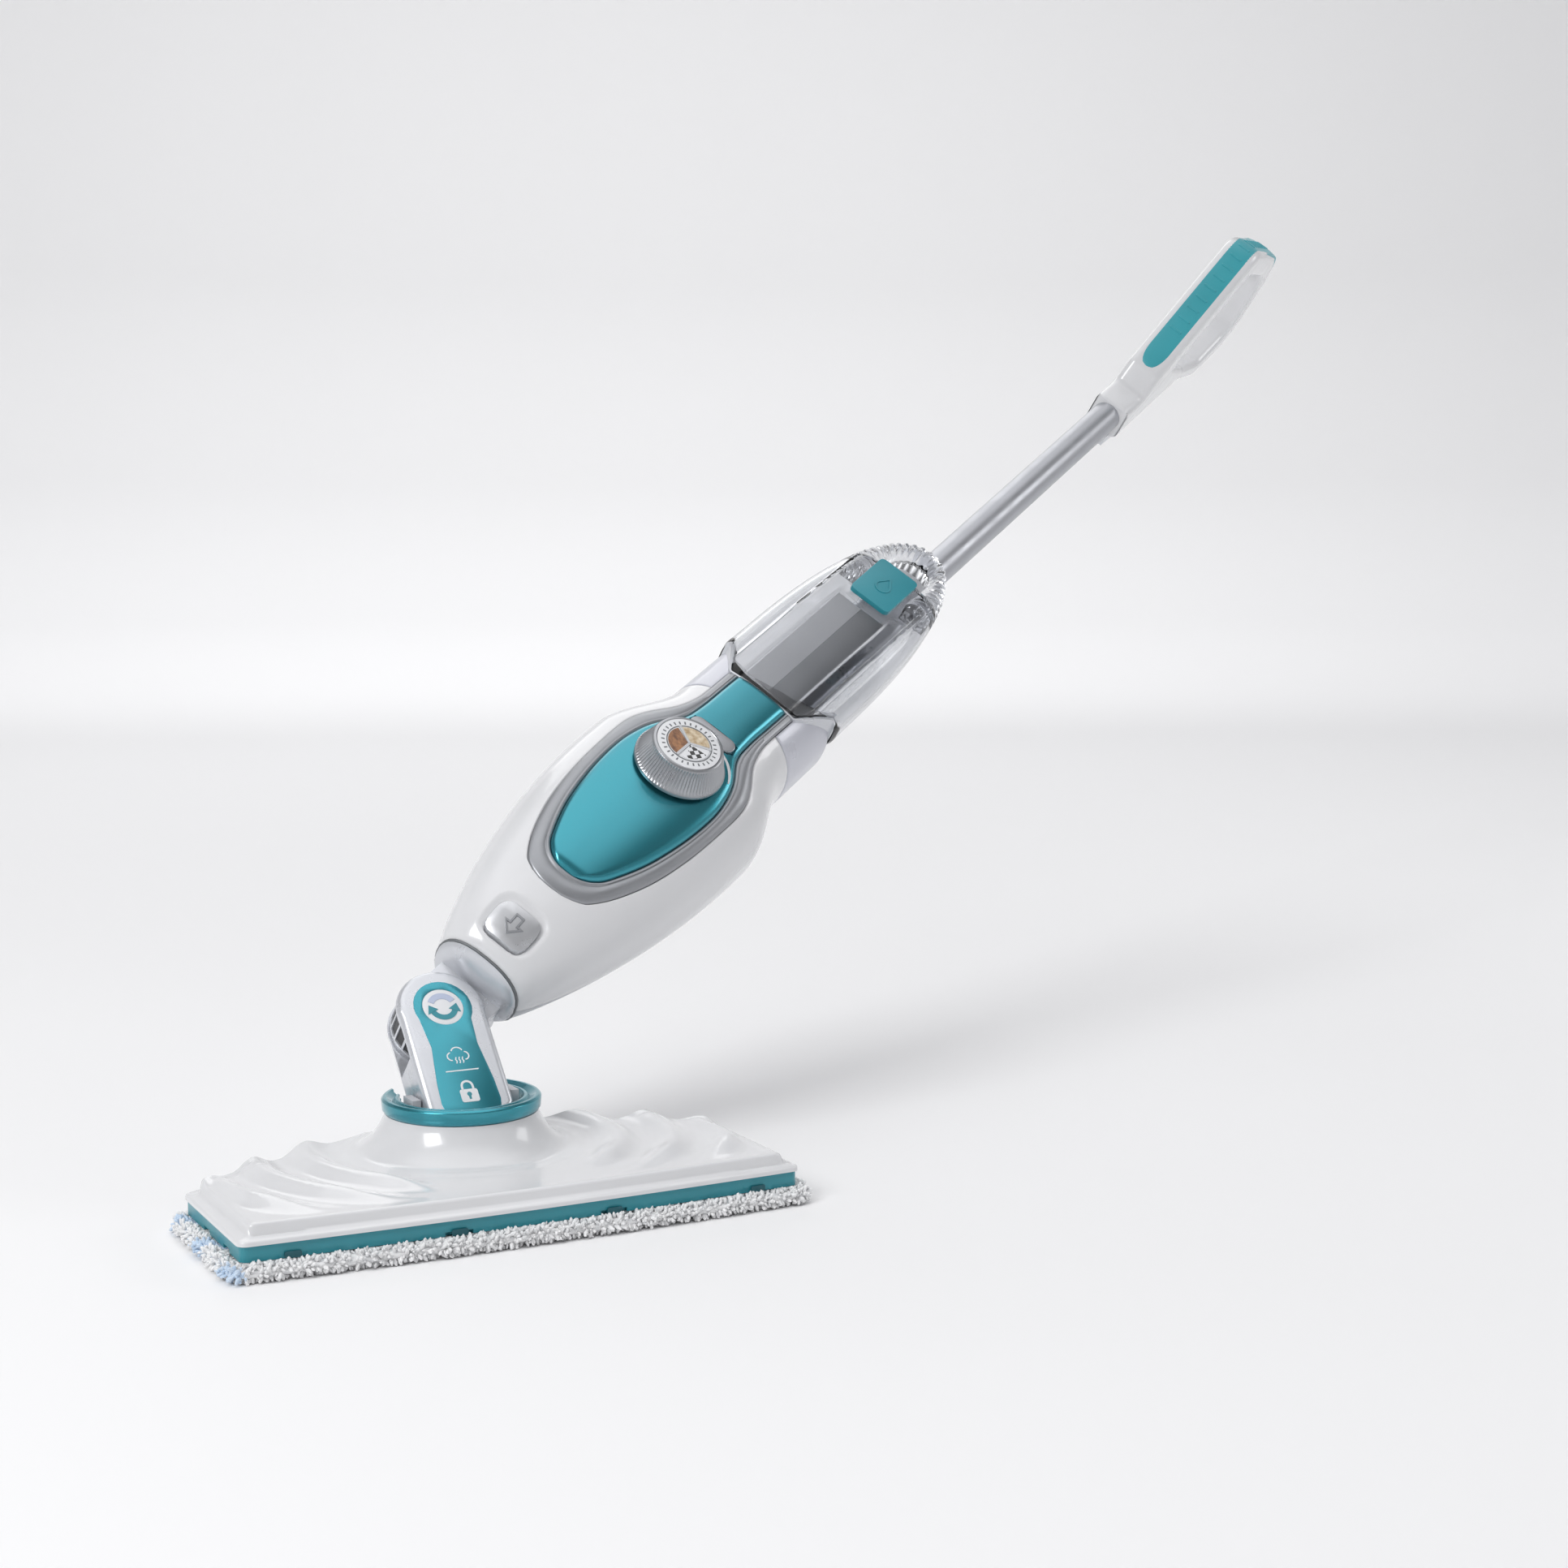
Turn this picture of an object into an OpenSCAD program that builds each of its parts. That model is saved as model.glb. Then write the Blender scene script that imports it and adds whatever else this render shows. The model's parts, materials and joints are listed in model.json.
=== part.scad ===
// Steam mop: padded head, folding fork and neck, body with boiler and lift-off tank,
// pole and loop handle. Row frame: origin on the floor under the collar's centre,
// +X along the head, -Y towards the front, +Z up. Millimetres.
// In the upper parts' own frame +Z runs up the body and "h" is the distance towards the front (-Y).

/* [Pose] */
// How far the fork leans back from upright
pitch = 43.8; // [0:0.1:65]
// How far the neck leans sideways in the fork
roll = 54.2; // [-70:0.1:70]

/* [Head] */
// Length of the head cover
head_w = 290; // [240:5:350]
// Collar centre to the front edge
head_front = 99; // [85:1:120]
// How far the front edge bows out at its middle
front_bow = 4; // [0:0.5:8]
// Collar centre forward to the side corners
head_side = 3; // [0:1:20]
// Collar centre to the back edge
head_back = 58; // [56:1:80]
// Width of the straight back edge
back_w = 76; // [60:2:110]
// Corner radius of the cover
head_corner_r = 5; // [2:0.5:10]
// Thickness of the pad
pad_t = 8; // [6:0.5:14]
// How far the pad stands out past the cover
pad_proud = 6.5; // [3:0.5:12]
// Height of the coloured sole plate's wall
sole_h = 7.4; // [6:0.2:12]
// Height of the cover's flange
flange_h = 2.6; // [2:0.2:5]
// Height of the cover's platform above its flange
platform_h = 5.8; // [4:0.2:10]
// How far the platform stands in from the flange
platform_inset = 8.5; // [6:0.5:14]
// Wall of the cover and the sole plate
head_wall = 2.4; // [1.8:0.1:3.2]
// Radius of the hub where it meets the platform
hub_base_r = 56; // [50:1:60]
// Height of the hub above the platform
hub_h = 19.4; // [14:0.2:24]
// Outer radius of the collar ring
collar_r = 41; // [38:0.5:44]
// Radius of the collar's bore
collar_bore_r = 32; // [31.5:0.1:33]

/* [Fork] */
// Height of the pitch pivot above the floor
pitch_z = 45.3; // [44:0.1:50]
// Pitch pivot to roll pivot
fork_len = 52; // [46:1:64]
// Width of the fork
fork_w = 47; // [44:1:50]
// Thickness of the fork, front to back
fork_t = 28; // [26:1:32]
// Radius of the fork's ears
ear_r = 24; // [22.5:0.5:26]
// Thickness of each ear
ear_t = 4.6; // [3.6:0.2:6]
// Diameter of the pin in each pivot
pivot_d = 8; // [6:0.5:10]

/* [Body] */
// Length of the white body shells
body_len = 236; // [210:2:270]
// Half width of the body at its widest
body_half_w = 61; // [54:1:68]
// Half width of the body where the neck meets it
neck_half_w = 27; // [25.5:0.5:29]
// Front of the body at its deepest, from the pole line
body_front = 64; // [60:1:70]
// Back of the body at its deepest, behind the pole line
body_back = 13; // [12:0.5:18]
// Wall of the body shells
shell_t = 2.5; // [1.8:0.1:3]
// Depth where the front and rear shells meet
split_h = 8; // [4:0.5:10]

/* [Tank] */
// Length of the tank from its window's foot to the top of its arch
tank_len = 221; // [190:1:260]
// Half width of the tank at its widest
tank_half_w = 44; // [42:0.5:48]
// Front of the tank
tank_front = 60; // [58:0.5:64]
// Back of the tank, in front of the spine
tank_back = 19; // [18.5:0.5:22]
// Wall of the tank
tank_wall = 2.2; // [1.6:0.1:3]

/* [Pole and handle] */
// Outer diameter of the pole
pole_d = 22.4; // [20:0.2:25]
// Wall of the pole
pole_wall = 1.4; // [1:0.1:2.5]
// Offset of the pole towards the front
pole_h = 3.3; // [2:0.1:4]
// Length of pole seen between the spine and the handle
pole_seen = 298; // [240:2:400]
// Width of the handle
handle_w = 28; // [26.5:0.5:34]
// Width of the soft grip insert
grip_w = 20; // [16:0.5:22]

/* [Hidden] */
$fn = 64;

// Clearances
gap = 0.3;
run = 0.05;
pin_fit = 0.02;
snug = 0.15;

// Head levels
strip_t = 0.6;
sole_z = pad_t + strip_t;
cover_z = sole_z + sole_h;
platform_z = cover_z + flange_h + platform_h;
hub_z = platform_z + hub_h;
rim_h = 8;
fork_half_t = fork_t / 2;
ear_gap = fork_half_t - ear_t;
base_post_x = fork_w / 2 + 1;

// Body levels, up from the roll pivot
neck_z = ear_r + 1.6;
gasket_z = neck_z + 4.4;
gasket_t = 1.2;
shell_z0 = gasket_z + gasket_t;
shell_z1 = shell_z0 + body_len;
deep_z = shell_z0 + body_len * 0.75;
wide_z = shell_z0 + body_len * 0.7;
fascia_z1 = shell_z1 + 20;
tank_z0 = fascia_z1 + 1;
tank_z1 = tank_z0 + tank_len;
spine_z1 = tank_z1 + 6;
pole_z0 = tank_z0 + 110;
handle_z = spine_z1 + pole_seen;
waist_w = tank_half_w - 0.5;
socket_r = 17;
spigot_r = 10.5;
spigot_h = 8;
notch_h = spigot_h + spigot_r - 4.3;
button_z = shell_z0 + 17.5;
o_ring_zs = [gasket_z + 3, gasket_z + 7];
steam_z = shell_z0 + 198;
dial_z = shell_z0 + 163;
gland_z = shell_z0 + 176;
dial_tilt = 3;
dial_base_r = 27;
dial_top_r = 20.5;
dial_h = 17;
latch_z = tank_z0 + tank_len - 97;
latch_len = 41;
latch_w = 29.5;
latch_pin_z = latch_z + 35;
arch_z0 = latch_z + latch_len + 1;
cap_h = 38;
release_depth = 9;
knurls = 60;
knurl_lean = atan((dial_base_r - 1.6 - dial_top_r) / (dial_h - 3));

// ---- Functions ----
function unit(v) = v / norm(v);
function rise(t, p) = sin(90 * pow(min(1, max(0, t)), p));
function fade(t) = (1 + cos(180 * min(1, max(0, t)))) / 2;

// Outline moved outwards by d; the points run anticlockwise
function grow(p, d) = let (n = len(p)) [for (i = [0:n - 1])
  let (a = unit(p[i] - p[(i + n - 1) % n]), b = unit(p[(i + 1) % n] - p[i]),
       na = [a.y, -a.x], nb = [b.y, -b.x]) p[i] + (na + nb) * d / (1 + na * nb)];

// Arc that rounds the corner at q between p and s
function corner(p, q, s, r, n) = let (u = unit(p - q), w = unit(s - q), half = acos(u * w) / 2,
  c = q + unit(u + w) * r / sin(half), e = q + u * r / tan(half) - c, f = q + w * r / tan(half) - c,
  a0 = atan2(e.y, e.x), turn = (atan2(f.y, f.x) - a0 + 540) % 360 - 180)
  [for (i = [0:n]) c + r * [cos(a0 + turn * i / n), sin(a0 + turn * i / n)]];

// Outline with every corner rounded; r is one radius or one for each corner
function rounded(p, r, n = 5) = let (k = len(p)) [for (i = [0:k - 1])
  each corner(p[(i + k - 1) % k], p[i], p[(i + 1) % k], is_list(r) ? r[i] : r, n)];

function mirrored(p) = concat(p, [for (i = [len(p) - 1:-1:0]) [-p[i].x, p[i].y]]);

function box_outline(w, l, c = [0, 0]) =
  [c + [-w, -l] / 2, c + [w, -l] / 2, c + [w, l] / 2, c + [-w, l] / 2];

// One closed ring at height z: half width w, front f, back b, widest at depth m
function ring(z, w, f, b, m, e, n = 32) = [for (i = [0:n - 1])
  let (c = cos(360 * i / n), s = sin(360 * i / n), k = 2 / e)
  [w * sign(c) * pow(abs(c), k), -m + (s > 0 ? m - b : f - m) * sign(s) * pow(abs(s), k), z]];

// Head outline, anticlockwise from the left front corner, with a bowed front edge
head_pts = concat(
  [for (i = [0:8]) [(i / 4 - 1) * head_w / 2, -head_front - front_bow * sin(22.5 * i)]],
  [[head_w / 2, -head_side], [back_w / 2, head_back], [-back_w / 2, head_back],
   [-head_w / 2, -head_side]]);
function head_outline(d) = rounded(grow(head_pts, d), max(0.6, head_corner_r + min(d, 4)), 4);

// Body sections
function body_t(z) = (z - shell_z0) / (wide_z - shell_z0);
function body_w(z) = z < wide_z ? neck_half_w + (body_half_w - neck_half_w) * rise(body_t(z), 0.82)
  : waist_w + (body_half_w - waist_w) * fade((z - wide_z - 8) / (shell_z1 - wide_z - 12));
function body_f(z) = z < deep_z
  ? 30 + (body_front - 30) * rise((z - shell_z0) / (deep_z - shell_z0), 0.62)
  : body_front - (body_front - tank_front) * (z - deep_z) / (fascia_z1 - deep_z);
function body_b(z) = 10 + (body_back - 10) * rise((z - shell_z0) / (wide_z - shell_z0), 0.8);
function body_m(z) = 8 + 14 * rise((z - shell_z0) / (wide_z - shell_z0), 0.7);
function body_ring(z, g) = ring(z, body_w(z) + g, body_f(z) + g, -body_b(z) - g, body_m(z), 2.45);
body_steps = [for (t = [0, 0.02, 0.05, 0.09, 0.14, 0.2, 0.28, 0.37, 0.47, 0.58, 0.69, 0.76, 0.8,
  0.84, 0.88, 0.92, 0.96, 1]) shell_z0 + t * body_len];

release_back = body_f(button_z) - release_depth;

// Tank sections
function tank_t(z) = max(0, (z - tank_z0 - 53) / (tank_len - 53));
function tank_w(z) = tank_half_w * pow(1 - pow(tank_t(z), 2.4), 0.45);
function tank_f(z) = tank_front - 2.5 * (z - tank_z0) / 130 - 9 * pow(tank_t(z), 3);
latch_h = tank_f(latch_z + 20) - 1;

// Line where the tank meets the shoulders, as half of a V
seam_pts = [[24, tank_z0], [39, tank_z0 + 27], [60, tank_z0 + 29]];
function seam_above(d) = concat([[-60, 900]], [for (i = [2:-1:0]) [-seam_pts[i].x, seam_pts[i].y + d]],
  [for (i = [0:2]) [seam_pts[i].x, seam_pts[i].y + d]], [[60, 900]]);

// Front panel outlines in x and z
bezel_half = [[11, 46], [22, 53], [30, 69], [37.5, 92], [42, 120], [43.6, 150], [43.4, 176],
  [38, 188], [29, 203], [24.6, 218], [24, 232]];
fascia_half = [[10, 59.5], [21, 73], [29, 96], [33.8, 122], [35.6, 146], [34.6, 163], [30, 180],
  [20.5, 198], [18.6, 214], [18.6, 236]];
function panel(half, top) = mirrored(concat([for (p = half) [p.x, p.y + shell_z0]],
  [[half[len(half) - 1].x, top]]));
bezel_pts = panel(bezel_half, fascia_z1);
fascia_pts = panel(fascia_half, fascia_z1 + 0.5);
release_pts = rounded(box_outline(27, 19, [0, button_z]), 6.5);
steam_pts = rounded(box_outline(31, 11, [0, steam_z]), 5.2);

// Handle outlines as [height, depth], from the handle's foot
handle_pts = [[0, 17], [34, 17], [44, 38], [150, 105], [250, 58], [240, -24], [172, -34],
  [116, -11], [0, -11]];
handle_radii = [2, 8, 7, 24, 40, 42, 34, 30, 2];
opening_pts = [[72, 25], [156, 80], [228, 46], [222, -6], [172, -18], [126, -2]];
opening_radii = [6, 13, 22, 22, 16, 24];
function handle_line(p, r, d) = [for (q = rounded(grow(p, d), [for (k = r) max(0.8, k + d)], 6))
  [q.y, q.x + handle_z]];
handle_ccw = [for (i = [len(handle_pts) - 1:-1:0]) handle_pts[i]];
handle_ccw_r = [for (i = [len(handle_pts) - 1:-1:0]) handle_radii[i]];
opening_ccw = [for (i = [len(opening_pts) - 1:-1:0]) opening_pts[i]];
opening_ccw_r = [for (i = [len(opening_pts) - 1:-1:0]) opening_radii[i]];

// ---- Building modules ----
module in_fork() translate([0, 0, pitch_z]) rotate([-pitch, 0, 0]) children();
module in_body() in_fork() translate([0, 0, fork_len]) rotate([0, roll, 0]) children();
module slab(pts, z0, z1) translate([0, 0, z0]) linear_extrude(z1 - z0) polygon(pts);
module to_front(pts, h0, h1) translate([0, -h0, 0]) rotate([90, 0, 0])
  linear_extrude(h1 - h0) polygon(pts);
module sideways(pts, x0, x1) translate([x0, 0, 0]) rotate([90, 0, 90])
  linear_extrude(x1 - x0) polygon([for (p = pts) [-p.x, p.y]]);
module peg_front(x, z, h0, h1, r) translate([x, -h0, z]) rotate([90, 0, 0]) cylinder(h1 - h0, r, r);
module rod_x(x0, x1, r) translate([x0, 0, 0]) rotate([0, 90, 0]) cylinder(x1 - x0, r, r);
module block(x0, x1, h0, h1, z0, z1) translate([x0, -h1, z0]) cube([x1 - x0, h1 - h0, z1 - z0]);

module loft(rings) {
  n = len(rings[0]);
  k = len(rings) - 1;
  sides = [for (j = [0:k - 1], i = [0:n - 1]) let (a = j * n + i, b = j * n + (i + 1) % n)
    each [[a, a + n, b + n], [a, b + n, b]]];
  foot = [for (i = [0:n - 1]) i];
  top = [for (i = [n - 1:-1:0]) k * n + i];
  polyhedron([for (r = rings) each r], concat([foot], sides, [top]), convexity = 6);
}

module body_form(g, z0, z1) loft([for (z = concat([z0], [for (s = body_steps)
  if (s > z0 + 1 && s < z1 - 1) s], [z1])) body_ring(z, g)]);

// A countersunk screw along +Z, head down
module screw(d, l) {
  cylinder(d * 0.6, d, d);
  translate([0, 0, d * 0.6]) cylinder(l, d / 2, d / 2);
}

// A tube bent through points, with round joints
module pipe(pts, r) for (i = [0:len(pts) - 2]) {
  v = pts[i + 1] - pts[i];
  translate(pts[i]) rotate([0, acos(v.z / norm(v)), atan2(v.y, v.x)]) cylinder(norm(v), r, r, $fn = 24);
  if (i > 0) translate(pts[i]) rotate([17, 23, 0]) sphere(r * 1.25, $fn = 24);
}

// A compression spring as a stack of rings joined by one post
module spring(r, wire, turns, pitch_len) {
  for (i = [0:turns - 1]) translate([0, 0, wire + i * pitch_len])
    rotate_extrude($fn = 32) translate([r, 0]) circle(wire, $fn = 16);
  translate([r, 0, wire]) cylinder((turns - 1) * pitch_len, wire * 0.8, wire * 0.8, $fn = 16);
}

// ---- Head ----
module mop_pad() color("gainsboro") slab(head_outline(pad_proud), 0, pad_t);

module hook_strips() color("dimgray") for (s = [-1, 1])
  slab(rounded(box_outline(60, 26, [s * 85, -50]), 3), pad_t, sole_z);

head_screw_xy = [[-118, -78], [0, -86], [118, -78], [-104, -18], [104, -18], [0, 50]];
function head_screw_at(i) = [head_screw_xy[i].x * head_w / 290, head_screw_xy[i].y];
notch_x = [-120, -40, 40, 120];

module sole_plate() color("teal") difference() {
  union() {
    slab(head_outline(-1.2), sole_z, sole_z + head_wall);
    difference() {
      slab(head_outline(-1.2), sole_z, cover_z - 0.05);
      slab(head_outline(-1.2 - head_wall), sole_z + 1, cover_z + 1);
    }
    for (i = [0:5]) translate([each head_screw_at(i), sole_z]) cylinder(sole_h - 0.1, 5, 5);
  }
  for (i = [0:5]) translate([each head_screw_at(i), sole_z - 1]) {
    cylinder(sole_h + 2, 2.1, 2.1);
    cylinder(3.6, 4.2, 4.2);
  }
  for (x = notch_x) translate([x * head_w / 290 - 7, -head_front - front_bow - 4, sole_z - 1])
    cube([14, 8, 3]);
  for (y = [-74, -40], s = [-1, 1]) translate([s * head_w / 2 - 3, y - 5, sole_z - 1]) cube([6, 10, 3]);
  for (x = [-90:30:90], y = [-80, -20]) translate([x, y, sole_z - 1]) cylinder(5, 1.5, 1.5, $fn = 24);
  slab(rounded(box_outline(60, 8, [0, -50]), 3.9), sole_z - 1, sole_z + 4);
}

hub_profile = [[collar_bore_r + 2.8, platform_z - 2], [hub_base_r + 12, platform_z - 2],
  [hub_base_r + 12, platform_z], [hub_base_r + 4, platform_z + 1.2],
  [hub_base_r - 2, platform_z + 4], [hub_base_r - 7, platform_z + 8.5],
  [hub_base_r - 11, platform_z + 13.5], [collar_r - 1.4, hub_z - 0.4],
  [collar_bore_r + 2.8, hub_z - 0.4]];

// Saddle cut through the back of the hub and the collar's rim, where the fork folds back
saddle_z = hub_z - 5;
module saddle(d, z0) translate([-fork_w / 2 - 4 - d, 10 - d, z0])
  cube([fork_w + 8 + 2 * d, 60, rim_h + 12]);

module head_cover() color("white") difference() {
  union() {
    slab(head_outline(0), cover_z, cover_z + flange_h);
    slab(head_outline(-platform_inset + 1), cover_z, platform_z - 1.6);
    slab(head_outline(-platform_inset - 0.6), cover_z, platform_z);
    intersection() {
      rotate_extrude($fn = 96) polygon(hub_profile);
      slab(head_outline(0), cover_z, hub_z);
    }
  }
  difference() {
    slab(head_outline(-platform_inset - head_wall), cover_z - 1, platform_z - head_wall);
    for (i = [0:5]) translate([each head_screw_at(i), cover_z]) cylinder(20, 4.5, 4.5);
    cylinder(60, collar_bore_r + 6, collar_bore_r + 6);
  }
  difference() {
    rotate_extrude($fn = 96) polygon([[0, 0], [hub_base_r - 12, 0], [hub_base_r - 12, platform_z + 2],
      [collar_bore_r + 5.2, hub_z - 4], [0, hub_z - 4]]);
    saddle(3, saddle_z - 3);
  }
  saddle(0, saddle_z);
  translate([0, 0, hub_z - 10]) cylinder(20, collar_bore_r + 2.8, collar_bore_r + 2.8);
  for (i = [0:5]) translate([each head_screw_at(i), cover_z - 1]) cylinder(6, 1.9, 1.9, $fn = 24);
}

module head_screws() color("silver") for (i = [0:5])
  translate([each head_screw_at(i), sole_z + 0.3]) screw(3.6, 8);

module pivot_collar() color("teal") difference() {
  rotate_extrude($fn = 96) polygon([[collar_bore_r, hub_z - 9], [collar_bore_r + 2.5, hub_z - 9],
    [collar_bore_r + 2.5, hub_z - 0.3], [collar_r - 2, hub_z - 0.3], [collar_r - 0.4, hub_z + 1.6],
    [collar_r, hub_z + rim_h - 1.2], [collar_r - 1.2, hub_z + rim_h], [collar_r - 3, hub_z + rim_h],
    [collar_r - 4, hub_z + rim_h - 2.6], [collar_bore_r + 3, hub_z + rim_h - 2.6],
    [collar_bore_r + 1.6, hub_z + rim_h - 0.8], [collar_bore_r, hub_z + rim_h - 0.8]]);
  saddle(0, saddle_z - 0.2);
}

module pivot_base() color("lightgray") {
  difference() {
    translate([0, 0, sole_z + head_wall + 0.2])
      cylinder(hub_z - 14 - sole_z, collar_bore_r - 0.4, collar_bore_r - 0.4);
    translate([0, 0, sole_z + head_wall + 4]) cylinder(hub_z, collar_bore_r - 3, collar_bore_r - 3);
    translate([0, 0, sole_z]) cylinder(20, 5, 5);
  }
  difference() {
    for (s = [-1, 1]) translate([s > 0 ? base_post_x : -base_post_x - 4.4, -7, sole_z + head_wall + 3])
      cube([4.4, 14, pitch_z + 7 - sole_z - head_wall - 3]);
    translate([0, 0, pitch_z]) rod_x(-40, 40, pivot_d / 2 + pin_fit);
  }
}

module pitch_pin() color("silver") translate([0, 0, pitch_z])
  rod_x(-base_post_x - 4.2, base_post_x + 4.2, pivot_d / 2);

module steam_nozzle() color("goldenrod") difference() {
  union() {
    translate([0, 0, sole_z + head_wall + 0.1]) cylinder(9, 4.6, 4.6);
    translate([0, 0, sole_z + head_wall + 4.2]) cylinder(2.4, 7.5, 7.5);
  }
  translate([0, 0, sole_z]) cylinder(20, 2.2, 2.2);
}

// ---- Fork ----
// Outline of the fork in x and z, rounded over the roll pivot
fork_half = fork_w / 2;
fork_pts = concat([[-fork_half, -8], [-fork_half + 5, -15], [fork_half - 5, -15], [fork_half, -8]],
  [for (a = [0:15:180]) [ear_r * cos(a), fork_len + ear_r * sin(a)]]);
label_pts = concat([for (a = [-32:13:212]) [15.8 * cos(a), fork_len + 15.8 * sin(a)]],
  mirrored([[-12.6, fork_len - 24], [-15.4, 6], [-16, -6], [-14.6, -13]]));

module fork_solid(h0, h1) intersection() {
  to_front(fork_pts, h0, h1);
  union() {
    rod_x(-40, 40, fork_half_t);
    translate([-40, -40, 0]) cube([80, 80, fork_len + ear_r + 1]);
    // Apron that carries the flat front down into the collar
    block(-40, 40, 7, fork_half_t, -16, 1);
  }
}

module fork_cuts() {
  // Room for the neck's tongue
  block(-40, 40, -ear_gap, ear_gap, fork_len - ear_r - 2, fork_len + 40);
  // Hollow below it
  block(-fork_half + 3, fork_half - 3, -ear_gap, ear_gap, 12, fork_len - ear_r - 1);
  rod_x(-60, 60, pivot_d / 2 + run);
}

module fork_front() color("white") in_fork() difference() {
  fork_solid(0, fork_half_t);
  fork_cuts();
  to_front(grow(label_pts, snug), fork_half_t - 0.8, fork_half_t + 1);
  peg_front(0, fork_len, -20, 20, pivot_d / 2 + pin_fit);
  for (s = [-1, 1]) peg_front(s * 16, 18, -20, fork_half_t - 3, 1.2);
}

module fork_rear() color("white") in_fork() difference() {
  fork_solid(-fork_half_t, 0);
  fork_cuts();
  peg_front(0, fork_len, -fork_half_t + 1.6, 20, pivot_d / 2 + pin_fit);
  for (s = [-1, 1]) {
    peg_front(s * 16, 18, -20, 20, 1.6);
    peg_front(s * 16, 18, -20, -fork_half_t + 2.6, 3.2);
  }
}

module fork_label() color("teal") in_fork() difference() {
  to_front(label_pts, fork_half_t - 0.75, fork_half_t + 0.2);
  peg_front(0, fork_len, 0, 30, 11);
}

module roll_pin() color("silver") in_fork() union() {
  peg_front(0, fork_len, -fork_half_t + 1.7, fork_half_t - 0.7, pivot_d / 2);
  peg_front(0, fork_len, fork_half_t - 0.75, fork_half_t + 0.1, 10.8);
}

module fork_screws() color("silver") in_fork() for (s = [-1, 1])
  translate([s * 16, fork_half_t - 0.7, 18]) rotate([90, 0, 0]) union() {
    cylinder(1.8, 2.8, 2.8, $fn = 24);
    cylinder(18, 1.1, 1.1, $fn = 24);
  }

module fork_hose() color("dimgray") in_fork() difference() {
  translate([0, 0, 13.5]) cylinder(fork_len - ear_r - 17, 4, 4);
  translate([0, 0, 10]) cylinder(60, 2.2, 2.2);
}

// ---- Neck ----
module at_spigot(z) translate([0, -spigot_h, z]) children();

module neck() color("gainsboro") in_body() difference() {
  union() {
    peg_front(0, 0, -ear_gap + gap, ear_gap - gap, ear_r - 2);
    block(-20, 20, -ear_gap + gap, ear_gap - gap, 0, neck_z + 1);
    loft([ring(neck_z, 21.5, 18, -9.5, 3, 2.4), ring(neck_z + 1.2, 24, 23, -9.8, 5, 2.4),
      ring(neck_z + 2.6, 26, 27, -10, 7, 2.4),
      ring(gasket_z - 0.2, neck_half_w - 0.4, 29.4, -10, 8, 2.4)]);
    at_spigot(gasket_z - 1) cylinder(30, spigot_r, spigot_r);
  }
  peg_front(0, 0, -40, 40, pivot_d / 2 + run);
  translate([0, 0, 10]) cylinder(neck_z - 7, 3.2, 3.2);
  at_spigot(neck_z + 2) cylinder(90, 4.6, 4.6);
  for (z = o_ring_zs) at_spigot(z) rotate_extrude() translate([spigot_r - 1.8, 0]) square([4, 2.2]);
  // Groove that the release catch rides in
  block(-6, 6, notch_h, spigot_h + spigot_r + 4, button_z - 6, button_z + 40);
}

module neck_tube() color("goldenrod") in_body() at_spigot(neck_z + 3) difference() {
  cylinder(28, 4.5, 4.5);
  translate([0, 0, -1]) cylinder(90, 2.4, 2.4);
}

module neck_o_rings() color("dimgray") in_body() for (z = o_ring_zs)
  at_spigot(z + 1.1) rotate_extrude() translate([spigot_r - 0.8, 0]) circle(0.9, $fn = 24);

// ---- Body ----
module neck_gasket() color("gray") in_body() difference() {
  loft([body_ring(gasket_z, 0.3), body_ring(gasket_z + gasket_t, 0.3)]);
  loft([body_ring(gasket_z - 1, -shell_t - 1), body_ring(gasket_z + gasket_t + 1, -shell_t - 1)]);
}

module neck_socket() color("lightgray") in_body() difference() {
  union() {
    at_spigot(shell_z0 + 0.5) cylinder(32, spigot_r + 2.5, spigot_r + 2.5);
    at_spigot(shell_z0 + 29.5) cylinder(3, spigot_r + 5, spigot_r + 5);
  }
  at_spigot(0) cylinder(shell_z0 + 29, spigot_r + 0.2, spigot_r + 0.2);
  at_spigot(0) cylinder(120, 5, 5);
  block(-8, 8, spigot_h, 40, button_z - 7, button_z + 4);
}

module front_opening() {
  to_front(grow(bezel_pts, snug), 20, 90);
  to_front(grow(release_pts, 0.4), 20, 90);
}

screw_xz = [[-26, 40], [26, 40], [-44, 152], [44, 152]];
module screw_posts(h0, h1, r) for (p = screw_xz) peg_front(p.x, p.y + shell_z0, h0, h1, r);

module front_shell() color("white") in_body() difference() {
  union() {
    difference() {
      body_form(0, shell_z0, shell_z1);
      body_form(-shell_t, shell_z0 - 2, shell_z1 + 2);
    }
    intersection() {
      screw_posts(split_h, 60, 4);
      body_form(-1, shell_z0, shell_z1);
    }
  }
  block(-90, 90, -40, split_h, 0, 400);
  screw_posts(0, split_h + 9, 1.7);
  front_opening();
}

module rear_shell() color("lightgray") in_body() difference() {
  union() {
    difference() {
      body_form(0, shell_z0, shell_z1);
      body_form(-shell_t, shell_z0 - 2, shell_z1 + 2);
    }
    intersection() {
      screw_posts(-30, split_h - 0.1, 4.2);
      body_form(-1, shell_z0, shell_z1);
    }
  }
  block(-90, 90, split_h - 0.1, 90, 0, 400);
  screw_posts(-30, 40, 1.8);
  screw_posts(-30, -body_back + 8, 3.3);
  peg_front(0, gland_z, -40, 0, 6.1);
}

module shell_screws() color("silver") in_body() for (p = screw_xz)
  translate([p.x, body_back - 6.1, p.y + shell_z0]) rotate([90, 0, 0]) union() {
    cylinder(1.8, 3, 3, $fn = 24);
    cylinder(20, 1.6, 1.6, $fn = 24);
  }

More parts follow.
